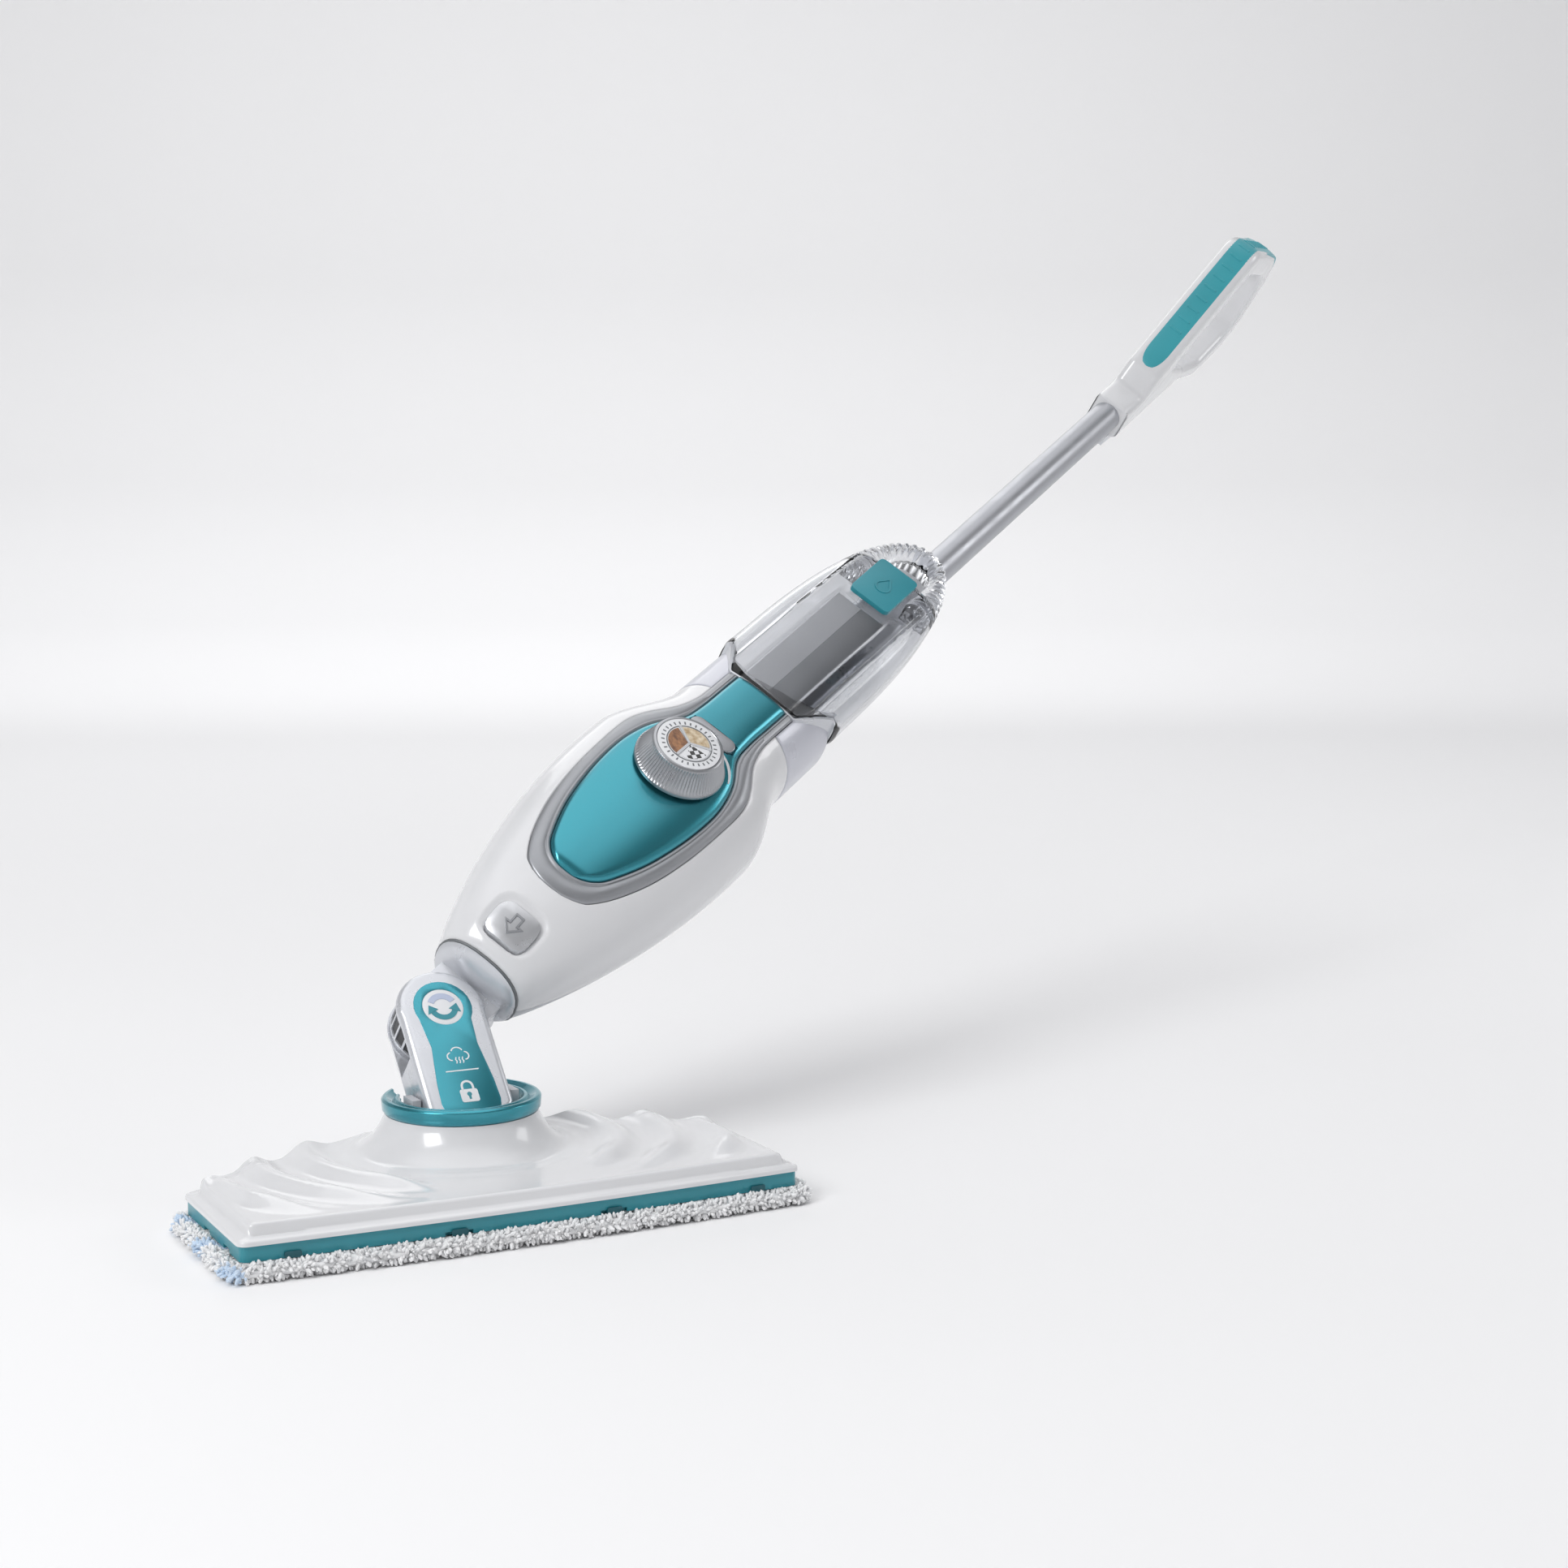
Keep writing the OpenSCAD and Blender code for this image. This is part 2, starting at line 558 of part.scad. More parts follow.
module bezel() color("silver") in_body() difference() {
  intersection() {
    body_form(0.4, shell_z0, fascia_z1);
    to_front(bezel_pts, 20, 90);
  }
  body_form(-shell_t, shell_z0 - 2, fascia_z1 + 2);
  to_front(grow(fascia_pts, snug), 20, 90);
}

module dial_frame() translate([0, -body_f(dial_z) - 1.2, dial_z]) rotate([90 - dial_tilt, 0, 0]) children();

module fascia() color("teal") in_body() difference() {
  intersection() {
    body_form(1.6, shell_z0, fascia_z1);
    to_front(fascia_pts, 20, 90);
  }
  body_form(-1.2, shell_z0 - 2, fascia_z1 + 2);
  to_front(grow(steam_pts, 0.4), 20, 90);
  dial_frame() cylinder(20, dial_base_r + 1.2, dial_base_r + 1.2);
  dial_frame() translate([0, 0, -20]) cylinder(40, 5.6, 5.6);
}

module shoulder(s) in_body() intersection() {
  difference() {
    body_form(0, shell_z1 + 0.4, tank_z0 + 32);
    body_form(-shell_t, shell_z1 - 2, tank_z0 + 40);
    to_front(seam_above(-0.4), -60, 90);
  }
  block(s > 0 ? 24.3 : -90, s > 0 ? 90 : -24.3, -60, 90, 0, 900);
}
module shoulder_left() color("lavender") shoulder(-1);
module shoulder_right() color("lavender") shoulder(1);

module tank_seat() color("lightgray") in_body() difference() {
  union() {
    body_form(-shell_t - 0.2, shell_z1 - 8, shell_z1 - 5);
    peg_seat(shell_z1 - 6, shell_z1 + 14, 17);
  }
  peg_seat(shell_z1 - 4.5, shell_z1 + 20, 14);
  peg_seat(shell_z1 - 20, shell_z1 + 20, 3);
  block(-24.4, 24.4, -60, 17.6, shell_z1 - 20, shell_z1 + 20);
}
module peg_seat(z0, z1, r) translate([0, -cap_h, z0]) cylinder(z1 - z0, r, r);

spine_pts = rounded([[-24, -body_back + 1], [24, -body_back + 1], [18, 17.2], [-18, 17.2]], 5);
module spine() color("whitesmoke") in_body() difference() {
  union() {
    translate([0, 0, shell_z1 + 0.4]) linear_extrude(spine_z1 - shell_z1 - 0.4)
      polygon([for (p = spine_pts) [p.x, -p.y]]);
    block(-17, 17, -body_back + shell_t + 2.8, 15, shell_z1 - 48, shell_z1 + 1);
  }
  translate([0, -pole_h, pole_z0 - 1]) cylinder(400, pole_d / 2, pole_d / 2);
  translate([0, -pole_h, shell_z1 - 50]) cylinder(pole_z0 - shell_z1 + 44, 8, 8);
  block(-5.2, 5.2, -30, pole_h - pole_d / 2 + 1, spine_z1 - 40, spine_z1 + 1);
}

// ---- Inside the body ----
module boiler() color("silver") in_body() translate([-22, -26, shell_z0 + 66]) difference() {
  union() {
    cylinder(78, 17, 17);
    translate([0, 0, 78]) cylinder(7, 5, 5);
    translate([0, 0, -7]) cylinder(8, 5, 5);
  }
  translate([0, 0, 3]) cylinder(72, 14, 14);
  translate([0, 0, -10]) cylinder(100, 2.5, 2.5);
}

module boiler_bands() color("dimgray") in_body() for (z = [80, 122])
  translate([-22, -26, shell_z0 + z]) difference() {
    cylinder(6, 18.6, 18.6);
    translate([0, 0, -1]) cylinder(9, 17.05, 17.05);
  }

module thermostat() color("tan") in_body() translate([-4.9, -26, shell_z0 + 106])
  rotate([0, 90, 0]) union() {
    cylinder(5, 7, 7);
    translate([0, 0, 5]) cylinder(2, 3, 3);
  }

module pump() color("slategray") in_body() translate([27, -15, shell_z0 + 70]) union() {
  cylinder(44, 12.5, 12.5);
  translate([0, 0, 44]) cylinder(9, 5, 5);
  translate([0, 0, -8]) cylinder(8, 4, 4);
}

module circuit_board() color("darkgreen") in_body() union() {
  block(8, 42, 34, 35.6, shell_z0 + 66, shell_z0 + 124);
  block(14, 26, 35.6, 43, shell_z0 + 80, shell_z0 + 98);
  peg_front(33, shell_z0 + 108, 35.6, 43, 4);
  block(30, 38, 35.6, 40, shell_z0 + 74, shell_z0 + 84);
}

module water_tube() color("whitesmoke") in_body() pipe([[0, -cap_h, shell_z1 - 8.2],
  [0, -cap_h, shell_z1 - 22], [27, -15, shell_z1 - 44], [27, -15, shell_z0 + 123.2]], 2.6);

module steam_tube() color("goldenrod") in_body() pipe([[0, -spigot_h, shell_z0 + 33],
  [0, -spigot_h, shell_z0 + 40], [-22, -26, shell_z0 + 51], [-22, -26, shell_z0 + 58.8]], 2.8);

module selector_switch() color("dimgray") in_body() dial_frame() translate([0, 0, -20]) difference() {
  translate([-11, -11, 0]) cube([22, 22, 9]);
  translate([0, 0, 2]) cylinder(20, 4 + run, 4 + run);
}

module cord_gland() color("dimgray") in_body() difference() {
  union() {
    peg_front(0, gland_z, -body_back - 2.4, -body_back + 5, 6);
    peg_front(0, gland_z, -body_back - 2.4, -body_back - 0.2, 8);
  }
  peg_front(0, gland_z, -60, 60, 3.6);
}

// ---- Controls ----
module dial_ring() color("silver") in_body() dial_frame() difference() {
  union() {
    translate([0, 0, 0.4]) cylinder(2.6, dial_base_r, dial_base_r);
    translate([0, 0, 3]) cylinder(dial_h - 3, dial_base_r - 1.6, dial_top_r);
    for (i = [0:knurls - 1]) rotate([0, 0, i * 360 / knurls])
      translate([dial_base_r - 1.7, 0, 3]) rotate([0, -knurl_lean, 0])
        translate([-1, -0.45, 0]) cube([1.6, 0.9, dial_h - 4]);
  }
  translate([0, 0, dial_h - 3]) cylinder(10, dial_top_r - 1.5, dial_top_r - 1.5);
  translate([0, 0, -5]) cylinder(40, 4, 4);
  translate([0, 0, -1]) cylinder(dial_h - 5, dial_top_r - 4, dial_top_r - 4);
}

module dial_cap() color("white") in_body() dial_frame() translate([0, 0, dial_h - 2.9]) union() {
  cylinder(2.9, dial_top_r - 1.7, dial_top_r - 1.7);
  translate([0, 0, 2.9]) cylinder(0.8, 13.5, 13.5);
}

module dial_spindle() color("gray") in_body() dial_frame() translate([0, 0, -17.5])
  cylinder(17.5 + dial_h - 3.1, 4, 4);

module steam_button() color("silver") in_body() union() {
  to_front(steam_pts, body_f(steam_z) - 4, body_f(steam_z) + 2.4);
  peg_front(0, steam_z, body_f(steam_z) - 9, body_f(steam_z) - 4, 3);
}

module button_spring() color("silver") in_body() translate([0, 4 - body_f(steam_z) + 6.1, steam_z])
  rotate([90, 0, 0]) spring(3.6, 0.4, 5, 1.3);

module release_button() color("silver") in_body() union() {
  intersection() {
    body_form(0.8, shell_z0, shell_z0 + 60);
    to_front(release_pts, release_back, 90);
  }
  block(-5, 5, spigot_h + spigot_r - 0.9, release_back + 1, button_z - 3, button_z);
}

module release_spring() color("silver") in_body()
  translate([9.5, 9.1 - release_back, button_z + 5]) rotate([90, 0, 0]) spring(2.6, 0.45, 5, 2);

// ---- Tank ----
function tank_ring(z, g) = ring(z, tank_w(z) + g, tank_f(z) + g, tank_back - g, 36, 3);
tank_steps = [for (t = [0, 30, 53, 80, 105, 125, 142, 156, 168]) t * (tank_len - 53) / 168];
module tank_form(g, top) loft([for (t = tank_steps) tank_ring(tank_z0 + t + (t == tank_steps[8] ? top : 0), g)]);
tank_cap_z = tank_z0 - 12;

// The arch in front view: the tank's own outline outside, a finger opening inside
arch_pts = mirrored([for (i = [0:8])
  let (z = arch_z0 - 8 + (tank_z1 - arch_z0 + 8) * (1 - pow(1 - i / 8, 1.6)))
  [tank_w(min(z, tank_z1 - 0.2)), z]]);
arch_hole = rounded([[-14.6, arch_z0 + 2], [14.6, arch_z0 + 2], [14.6, tank_z1 - 17],
  [-14.6, tank_z1 - 17]], [3, 3, 12, 12]);

module tank_shell() color([0.75, 0.77, 0.78, 0.5]) in_body() difference() {
  union() {
    intersection() {
      tank_form(0, 0);
      to_front(seam_above(0.3), -60, 90);
    }
    to_front(arch_pts, 30, 50);
    translate([0, -cap_h, tank_z0 - 4]) cylinder(10, 12, 12);
  }
  intersection() {
    tank_form(-tank_wall, -2);
    to_front(seam_above(0.3 + tank_wall), -60, 90);
  }
  translate([0, -cap_h, tank_z0 - 8]) cylinder(30, 9, 9);
  to_front(arch_hole, 0, 90);
  latch_pocket();
}

// Shallow pocket in the tank's front for the latch
module latch_pocket() block(-latch_w / 2 - 0.5, latch_w / 2 + 0.5, tank_f(latch_z + 20) - 1.2, 90,
  latch_z - 1, arch_z0 + 2.5);

module tank_cap() color("dimgray") in_body() translate([0, -cap_h, tank_cap_z]) difference() {
  union() {
    cylinder(7.6, 13.6, 13.6);
    cylinder(20, 8.8, 8.8);
  }
  translate([0, 0, -1]) cylinder(30, 3.2, 3.2);
}

module tank_seal() color("black") in_body() translate([0, -cap_h, shell_z1 - 4.4]) difference() {
  cylinder(3, 11, 11);
  translate([0, 0, -1]) cylinder(6, 4, 4);
}

module tank_latch() color("teal") in_body() difference() {
  union() {
    to_front(rounded(box_outline(latch_w, latch_len, [0, latch_z + latch_len / 2]), 3.5),
      latch_h + 1.6, latch_h + 5.2);
    for (s = [-1, 1])
      block(s * 9 - 1.8, s * 9 + 1.8, latch_h + 0.2, latch_h + 2, latch_pin_z - 3, latch_pin_z + 3);
  }
  translate([0, -latch_h - 1.6, latch_pin_z]) rod_x(-20, 20, 1 + run);
}

module latch_pin() color("silver") in_body() translate([0, -latch_h - 1.6, latch_pin_z])
  rod_x(-10.6, 10.6, 1);

// ---- Pole and handle ----
module pole() color("silver") in_body() translate([0, -pole_h, pole_z0]) difference() {
  cylinder(handle_z + 36 - pole_z0, pole_d / 2 - 0.02, pole_d / 2 - 0.02);
  translate([0, 0, -1]) cylinder(900, pole_d / 2 - pole_wall, pole_d / 2 - pole_wall);
}

rail_h = pole_h - pole_d / 2;
module pole_rail() color("darkgray") in_body() difference() {
  block(-4.5, 4.5, rail_h - 4, rail_h + 1.6, spine_z1 - 38, handle_z + 30);
  translate([0, -pole_h, 0]) cylinder(2000, pole_d / 2 + 0.02, pole_d / 2 + 0.02);
}

// Band on the handle's outer face that holds the soft insert, from 3 mm deep out to d
module grip_band(d, side) intersection() {
  difference() {
    sideways(handle_line(handle_ccw, handle_ccw_r, d), -side, side);
    sideways(handle_line(handle_ccw, handle_ccw_r, -3), -40, 40);
  }
  sideways([[20, handle_z + 52], [60, handle_z + 36], [140, handle_z + 60], [140, handle_z + 214],
    [74, handle_z + 206], [50, handle_z + 110]], -40, 40);
}

module handle_shell() color("white") in_body() difference() {
  sideways(handle_line(handle_ccw, handle_ccw_r, 0), -handle_w / 2, handle_w / 2);
  sideways(handle_line(opening_ccw, opening_ccw_r, 0), -40, 40);
  translate([0, -pole_h, handle_z - 1]) cylinder(38, pole_d / 2, pole_d / 2);
  grip_band(5, grip_w / 2 + 0.15);
  block(-9.2, 9.2, -40, -7.5, handle_z - 10, handle_z + 112);
  block(-4.9, 4.9, -40, rail_h + 2.2, handle_z - 10, handle_z + 31);
  for (z = [60, 96]) peg_front(0, handle_z + z, -40, 8, 1.5);
}

module handle_rear_cover() color("gainsboro") in_body() difference() {
  sideways(rounded([[-7.7, handle_z - 6], [-7.7, handle_z + 110], [-11, handle_z + 111.5],
    [-19, handle_z + 100], [-20, handle_z + 20], [-17, handle_z - 6]], 1.2), -9, 9);
  block(-4.8, 4.8, rail_h - 4.3, 20, handle_z - 20, handle_z + 30.5);
  translate([0, -pole_h, handle_z - 10]) cylinder(60, pole_d / 2 + 0.1, pole_d / 2 + 0.1);
  for (z = [60, 96]) {
    peg_front(0, handle_z + z, -40, 0, 1.9);
    peg_front(0, handle_z + z, -40, -15, 3.2);
  }
}

module grip_insert() color("teal") in_body() grip_band(0.6, grip_w / 2);

module handle_screws() color("silver") in_body() for (z = [60, 96])
  translate([0, 17.8, handle_z + z]) rotate([90, 0, 0]) union() {
    cylinder(2.2, 2.9, 2.9, $fn = 24);
    cylinder(16, 1.4, 1.4, $fn = 24);
  }

// ---- Drawing ----
mop_pad();
hook_strips();
sole_plate();
head_cover();
head_screws();
pivot_collar();
pivot_base();
pitch_pin();
steam_nozzle();
fork_front();
fork_rear();
fork_label();
roll_pin();
fork_screws();
fork_hose();
neck();
neck_tube();
neck_o_rings();
neck_gasket();
neck_socket();
front_shell();
rear_shell();
shell_screws();
bezel();
fascia();
shoulder_left();
shoulder_right();
tank_seat();
spine();
boiler();
boiler_bands();
thermostat();
pump();
circuit_board();
water_tube();
steam_tube();
selector_switch();
cord_gland();
dial_ring();
dial_cap();
dial_spindle();
steam_button();
button_spring();
release_button();
release_spring();
tank_shell();
tank_cap();
tank_seal();
tank_latch();
latch_pin();
pole();
pole_rail();
handle_shell();
handle_rear_cover();
grip_insert();
handle_screws();
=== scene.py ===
import json
from math import acos, asin, atan, atan2, copysign, cos, exp, hypot, pi, radians, sin, sqrt, tan

import bmesh
import bpy
from mathutils import Matrix, Vector
from mathutils.geometry import tessellate_polygon


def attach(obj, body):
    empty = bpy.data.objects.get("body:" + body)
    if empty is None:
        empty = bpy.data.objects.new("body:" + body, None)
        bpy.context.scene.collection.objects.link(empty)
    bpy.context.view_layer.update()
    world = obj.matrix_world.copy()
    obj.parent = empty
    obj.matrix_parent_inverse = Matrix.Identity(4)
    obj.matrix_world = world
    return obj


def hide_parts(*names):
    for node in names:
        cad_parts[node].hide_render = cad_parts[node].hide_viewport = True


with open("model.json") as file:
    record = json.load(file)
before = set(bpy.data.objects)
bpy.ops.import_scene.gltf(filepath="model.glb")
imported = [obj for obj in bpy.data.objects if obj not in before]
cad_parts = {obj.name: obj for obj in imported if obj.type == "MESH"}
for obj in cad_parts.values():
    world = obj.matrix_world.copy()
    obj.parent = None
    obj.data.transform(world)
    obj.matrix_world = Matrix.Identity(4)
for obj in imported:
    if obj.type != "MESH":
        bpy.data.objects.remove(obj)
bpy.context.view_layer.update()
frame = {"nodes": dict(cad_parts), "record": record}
nodes = frame["nodes"]
record = frame["record"]
body_of_node = {n: b for b, names in record["behaviour"]["bodies"].items() for n in names}
slot_of_node = {s["node"]: s["material_slot"] for s in record["subparts"]}

# ---- Sizes in millimetres, angles in degrees ----
PITCH_Z, LEAN_ANGLE, SWING_ANGLE = 45.3, -43.8, 54.2
HEAD_HALF_W, HEAD_FRONT, FRONT_BOW = 145, 99, 4
SHELL_FOOT, SHELL_TOP = 31.2, 267.2
WIDEST_Z, DEEPEST_Z = 196.4, 208.2
PANEL_TOP = 287.2
TANK_FOOT, TANK_TOP = 288.2, 509.2
HANDLE_FOOT = 813.2
BUTTON_Z, STEAM_Z, DIAL_Z = 48.7, 229.2, 194.2
LATCH_Z = 412.2
SPLIT_DEPTH = 8
FORK_LEN, FORK_HALF_T, EAR_R = 52, 14, 24
TANK_NECK, TANK_MIDDLE, TANK_BACK = 456.2, 36, 19
SHELL_WALL = 2.2
ROUND, TANK_ROUND = 2 / 2.45, 2 / 3

# ---- Where the folding parts stand; ROW turns millimetres to metres ----
ROW = Matrix.Scale(0.001, 4)
LEAN = Matrix.Translation((0, 0, PITCH_Z)) @ Matrix.Rotation(radians(LEAN_ANGLE), 4, "X")
SWING = (LEAN @ Matrix.Translation((0, 0, FORK_LEN))
         @ Matrix.Rotation(radians(SWING_ANGLE), 4, "Y"))
FORK, BODY = ROW @ LEAN, ROW @ SWING


def rise(t, power):
    """0 to 1, steep at first and flat at the end."""
    return sin(pi / 2 * min(1, max(0, t)) ** power)


def fade(t):
    """1 to 0, flat at both ends."""
    return (1 + cos(pi * min(1, max(0, t)))) / 2


def smooth(t):
    t = min(1, max(0, t))
    return t * t * (3 - 2 * t)


def spread(a, b, n):
    """n even steps from a to b, both included."""
    return [a + (b - a) * i / max(1, n - 1) for i in range(n)]


def body_width(z):
    if z < WIDEST_Z:
        return 27 + 34 * rise((z - SHELL_FOOT) / (WIDEST_Z - SHELL_FOOT), 0.82)
    return 43.5 + 17.5 * fade((z - WIDEST_Z - 8) / (SHELL_TOP - WIDEST_Z - 12))


def body_front(z):
    if z < DEEPEST_Z:
        return 30 + 34 * rise((z - SHELL_FOOT) / (DEEPEST_Z - SHELL_FOOT), 0.62)
    return 64 - 4 * (z - DEEPEST_Z) / (PANEL_TOP - DEEPEST_Z)


def body_back(z):
    return 10 + 3 * rise((z - SHELL_FOOT) / (WIDEST_Z - SHELL_FOOT), 0.8)


def body_middle(z):
    return 8 + 14 * rise((z - SHELL_FOOT) / (WIDEST_Z - SHELL_FOOT), 0.7)


def on_body(z, turn, lift=0.0):
    """A point on the body's skin; turn 0 is the front's middle and pi the back's."""
    s, c, m = sin(turn), cos(turn), body_middle(z)
    x = copysign(abs(s) ** ROUND, s) * (body_width(z) + lift)
    if c > 0:
        return Vector((x, -m - (body_front(z) + lift - m) * c ** ROUND, z))
    return Vector((x, -m + (m + body_back(z) + lift) * (-c) ** ROUND, z))


def turn_at(z, x):
    return copysign(asin(min(1, abs(x) / body_width(z)) ** (1 / ROUND)), x)


def turn_behind(z, x):
    return pi - turn_at(z, x)


def side_turn(z, depth=SPLIT_DEPTH):
    m = body_middle(z)
    return acos(-max(0, (m - depth) / (m + body_back(z))) ** (1 / ROUND))


def on_front(x, z, lift=0.0):
    return on_body(z, turn_at(z, x), lift)


# ---- Meshes ----
def meshed(name, form, place=None):
    """A bmesh used up as a new mesh."""
    mesh = bpy.data.meshes.new(name)
    form.to_mesh(mesh)
    form.free()
    if place is not None:
        mesh.transform(place)
    return mesh


def placed(name, data):
    """A new object in the scene."""
    obj = bpy.data.objects.new(name, data)
    bpy.context.scene.collection.objects.link(obj)
    return obj


def grid(rows, wrap=False):
    """A sheet of quads through rows of points."""
    sheet = bmesh.new()
    laid = [[sheet.verts.new(p) for p in row] for row in rows]
    n = len(rows[0])
    for low, high in zip(laid, laid[1:]):
        for j in range(n if wrap else n - 1):
            k = (j + 1) % n
            sheet.faces.new((low[j], low[k], high[k], high[j]))
    return sheet, laid


def facing_out(sheet, inside):
    """Turns an open sheet so that it faces away from a point inside it."""
    bmesh.ops.recalc_face_normals(sheet, faces=sheet.faces)
    total = sum((f.calc_center_median() - inside).dot(f.normal) * f.calc_area() for f in sheet.faces)
    if total < 0:
        bmesh.ops.reverse_faces(sheet, faces=sheet.faces)
    return sheet


def skin(rows, height=190, depth=-20):
    """An open sheet through rows that faces away from the middle of its piece."""
    return facing_out(grid(rows)[0], Vector((0, depth, height)))


def solid(sheet):
    """Joins a closed form's seams and turns its faces outwards."""
    bmesh.ops.remove_doubles(sheet, verts=sheet.verts, dist=0.002)
    bmesh.ops.recalc_face_normals(sheet, faces=sheet.faces)
    return sheet


def loft(rows):
    """A closed form through closed rings."""
    form, laid = grid(rows, wrap=True)
    form.faces.new(laid[0])
    form.faces.new(laid[-1])
    return solid(form)


def plate(outline, low, high, place):
    """A flat piece: an outline in x and z, from depth low to depth high."""
    form = bmesh.new()
    rings = [[form.verts.new(place((x, -h, z))) for x, z in outline] for h in (low, high)]
    form.faces.new(rings[0])
    form.faces.new(rings[1])
    n = len(outline)
    for i in range(n):
        j = (i + 1) % n
        form.faces.new((rings[0][i], rings[0][j], rings[1][j], rings[1][i]))
    return solid(form)


def together(parts):
    """Several closed forms as one."""
    whole = bmesh.new()
    for part in parts:
        mesh = meshed("part", part)
        whole.from_mesh(mesh)
        bpy.data.meshes.remove(mesh)
    return whole


def stroke(points, width, closed=False):
    """Left and right edge of a line of that width drawn through points."""
    pts = [Vector(p) for p in points]
    n = len(pts)
    left, right = [], []
    for i, p in enumerate(pts):
        a = pts[i - 1] if i or closed else p
        b = pts[(i + 1) % n] if i < n - 1 or closed else p
        u = (p - a).normalized() if (p - a).length else (b - p).normalized()
        v = (b - p).normalized() if (b - p).length else u
        across = Vector((-(u + v).y, (u + v).x)).normalized()
        reach = width / 2 / max(0.5, across.dot(Vector((-u.y, u.x))))
        left.append(p + across * reach)
        right.append(p - across * reach)
    return left, right


def line_plate(points, width, low, high, place, closed=False):
    """A line through points, drawn as a flat piece."""
    left, right = stroke(points, width, closed)
    if not closed:
        return plate(left + right[::-1], low, high, place)
    rings = [[place((q.x, -h, q.y)) for q in side] for side, h in
             ((left, low), (left, high), (right, high), (right, low), (left, low))]
    return solid(grid(rings, wrap=True)[0])


def arc(cx, cz, r, a0, a1, n=24):
    return [(cx + r * cos(radians(a)), cz + r * sin(radians(a)))
            for a in spread(a0, a1, n)]


def sector(cx, cz, r0, r1, a0, a1, n=24):
    return arc(cx, cz, r1, a0, a1, n) + arc(cx, cz, r0, a1, a0, n)


def rounded_box(w, h, cx, cz, r, n=6):
    pts = []
    for k, (sx, sz) in enumerate(((1, 1), (-1, 1), (-1, -1), (1, -1))):
        pts += arc(cx + sx * (w / 2 - r), cz + sz * (h / 2 - r), r, 90 * k, 90 * k + 90, n)
    return pts


def rounded_path(points, radii, n=8):
    """Closed outline with every corner rounded."""
    pts = [Vector(p) for p in points]
    out = []
    for i, q in enumerate(pts):
        u = (pts[i - 1] - q).normalized()
        w = (pts[(i + 1) % len(pts)] - q).normalized()
        half = acos(max(-1, min(1, u.dot(w)))) / 2
        c = q + (u + w).normalized() * radii[i] / sin(half)
        e = q + u * radii[i] / tan(half) - c
        f = q + w * radii[i] / tan(half) - c
        a0 = atan2(e.y, e.x)
        turn = (atan2(f.y, f.x) - a0 + 3 * pi) % (2 * pi) - pi
        out += [c + radii[i] * Vector((cos(a0 + turn * t), sin(a0 + turn * t)))
                for t in spread(0, 1, n)]
    return out


def grown(outline, d):
    """A closed anticlockwise outline moved outwards."""
    n = len(outline)
    out = []
    for i, p in enumerate(outline):
        p = Vector(p)
        a = (p - Vector(outline[i - 1])).normalized()
        b = (Vector(outline[(i + 1) % n]) - p).normalized()
        na, nb = Vector((a.y, -a.x)), Vector((b.y, -b.x))
        out.append(p + (na + nb) * d / max(0.4, 1 + na.dot(nb)))
    return out


def resampled(points, n):
    """n points at even steps along an open line."""
    pts = [Vector(p) for p in points]
    run = [0]
    for a, b in zip(pts, pts[1:]):
        run.append(run[-1] + (b - a).length)
    out, k = [], 0
    for d in spread(0, run[-1], n):
        while k < len(pts) - 2 and run[k + 1] < d:
            k += 1
        span = run[k + 1] - run[k]
        out.append(pts[k].lerp(pts[k + 1], (d - run[k]) / span if span else 0))
    return out


def curved(points, n):
    """A smooth line through points."""
    pts = [Vector(p) for p in points]
    ends = [pts[0] * 2 - pts[1]] + pts + [pts[-1] * 2 - pts[-2]]
    out = []
    for i in range(1, len(ends) - 2):
        p0, p1, p2, p3 = ends[i - 1:i + 3]
        for t in spread(0, 1, n)[:-1]:
            out.append(0.5 * ((2 * p1) + (p2 - p0) * t + (2 * p0 - 5 * p1 + 4 * p2 - p3) * t ** 2
                              + (3 * p1 - p0 - 3 * p2 + p3) * t ** 3))
    return out + [pts[-1]]


# ---- Finishes ----
def node_in(tree, kind, **values):
    """A new node. A value goes to its setting or input of that name; an output is linked to it."""
    made = tree.nodes.new(kind)
    for key, value in values.items():
        if hasattr(made, key):
            setattr(made, key, value)
            continue
        target = made.inputs[key.replace("_", " ")]
        if isinstance(value, bpy.types.NodeSocket):
            tree.links.new(value, target)
        else:
            target.default_value = value
    return made


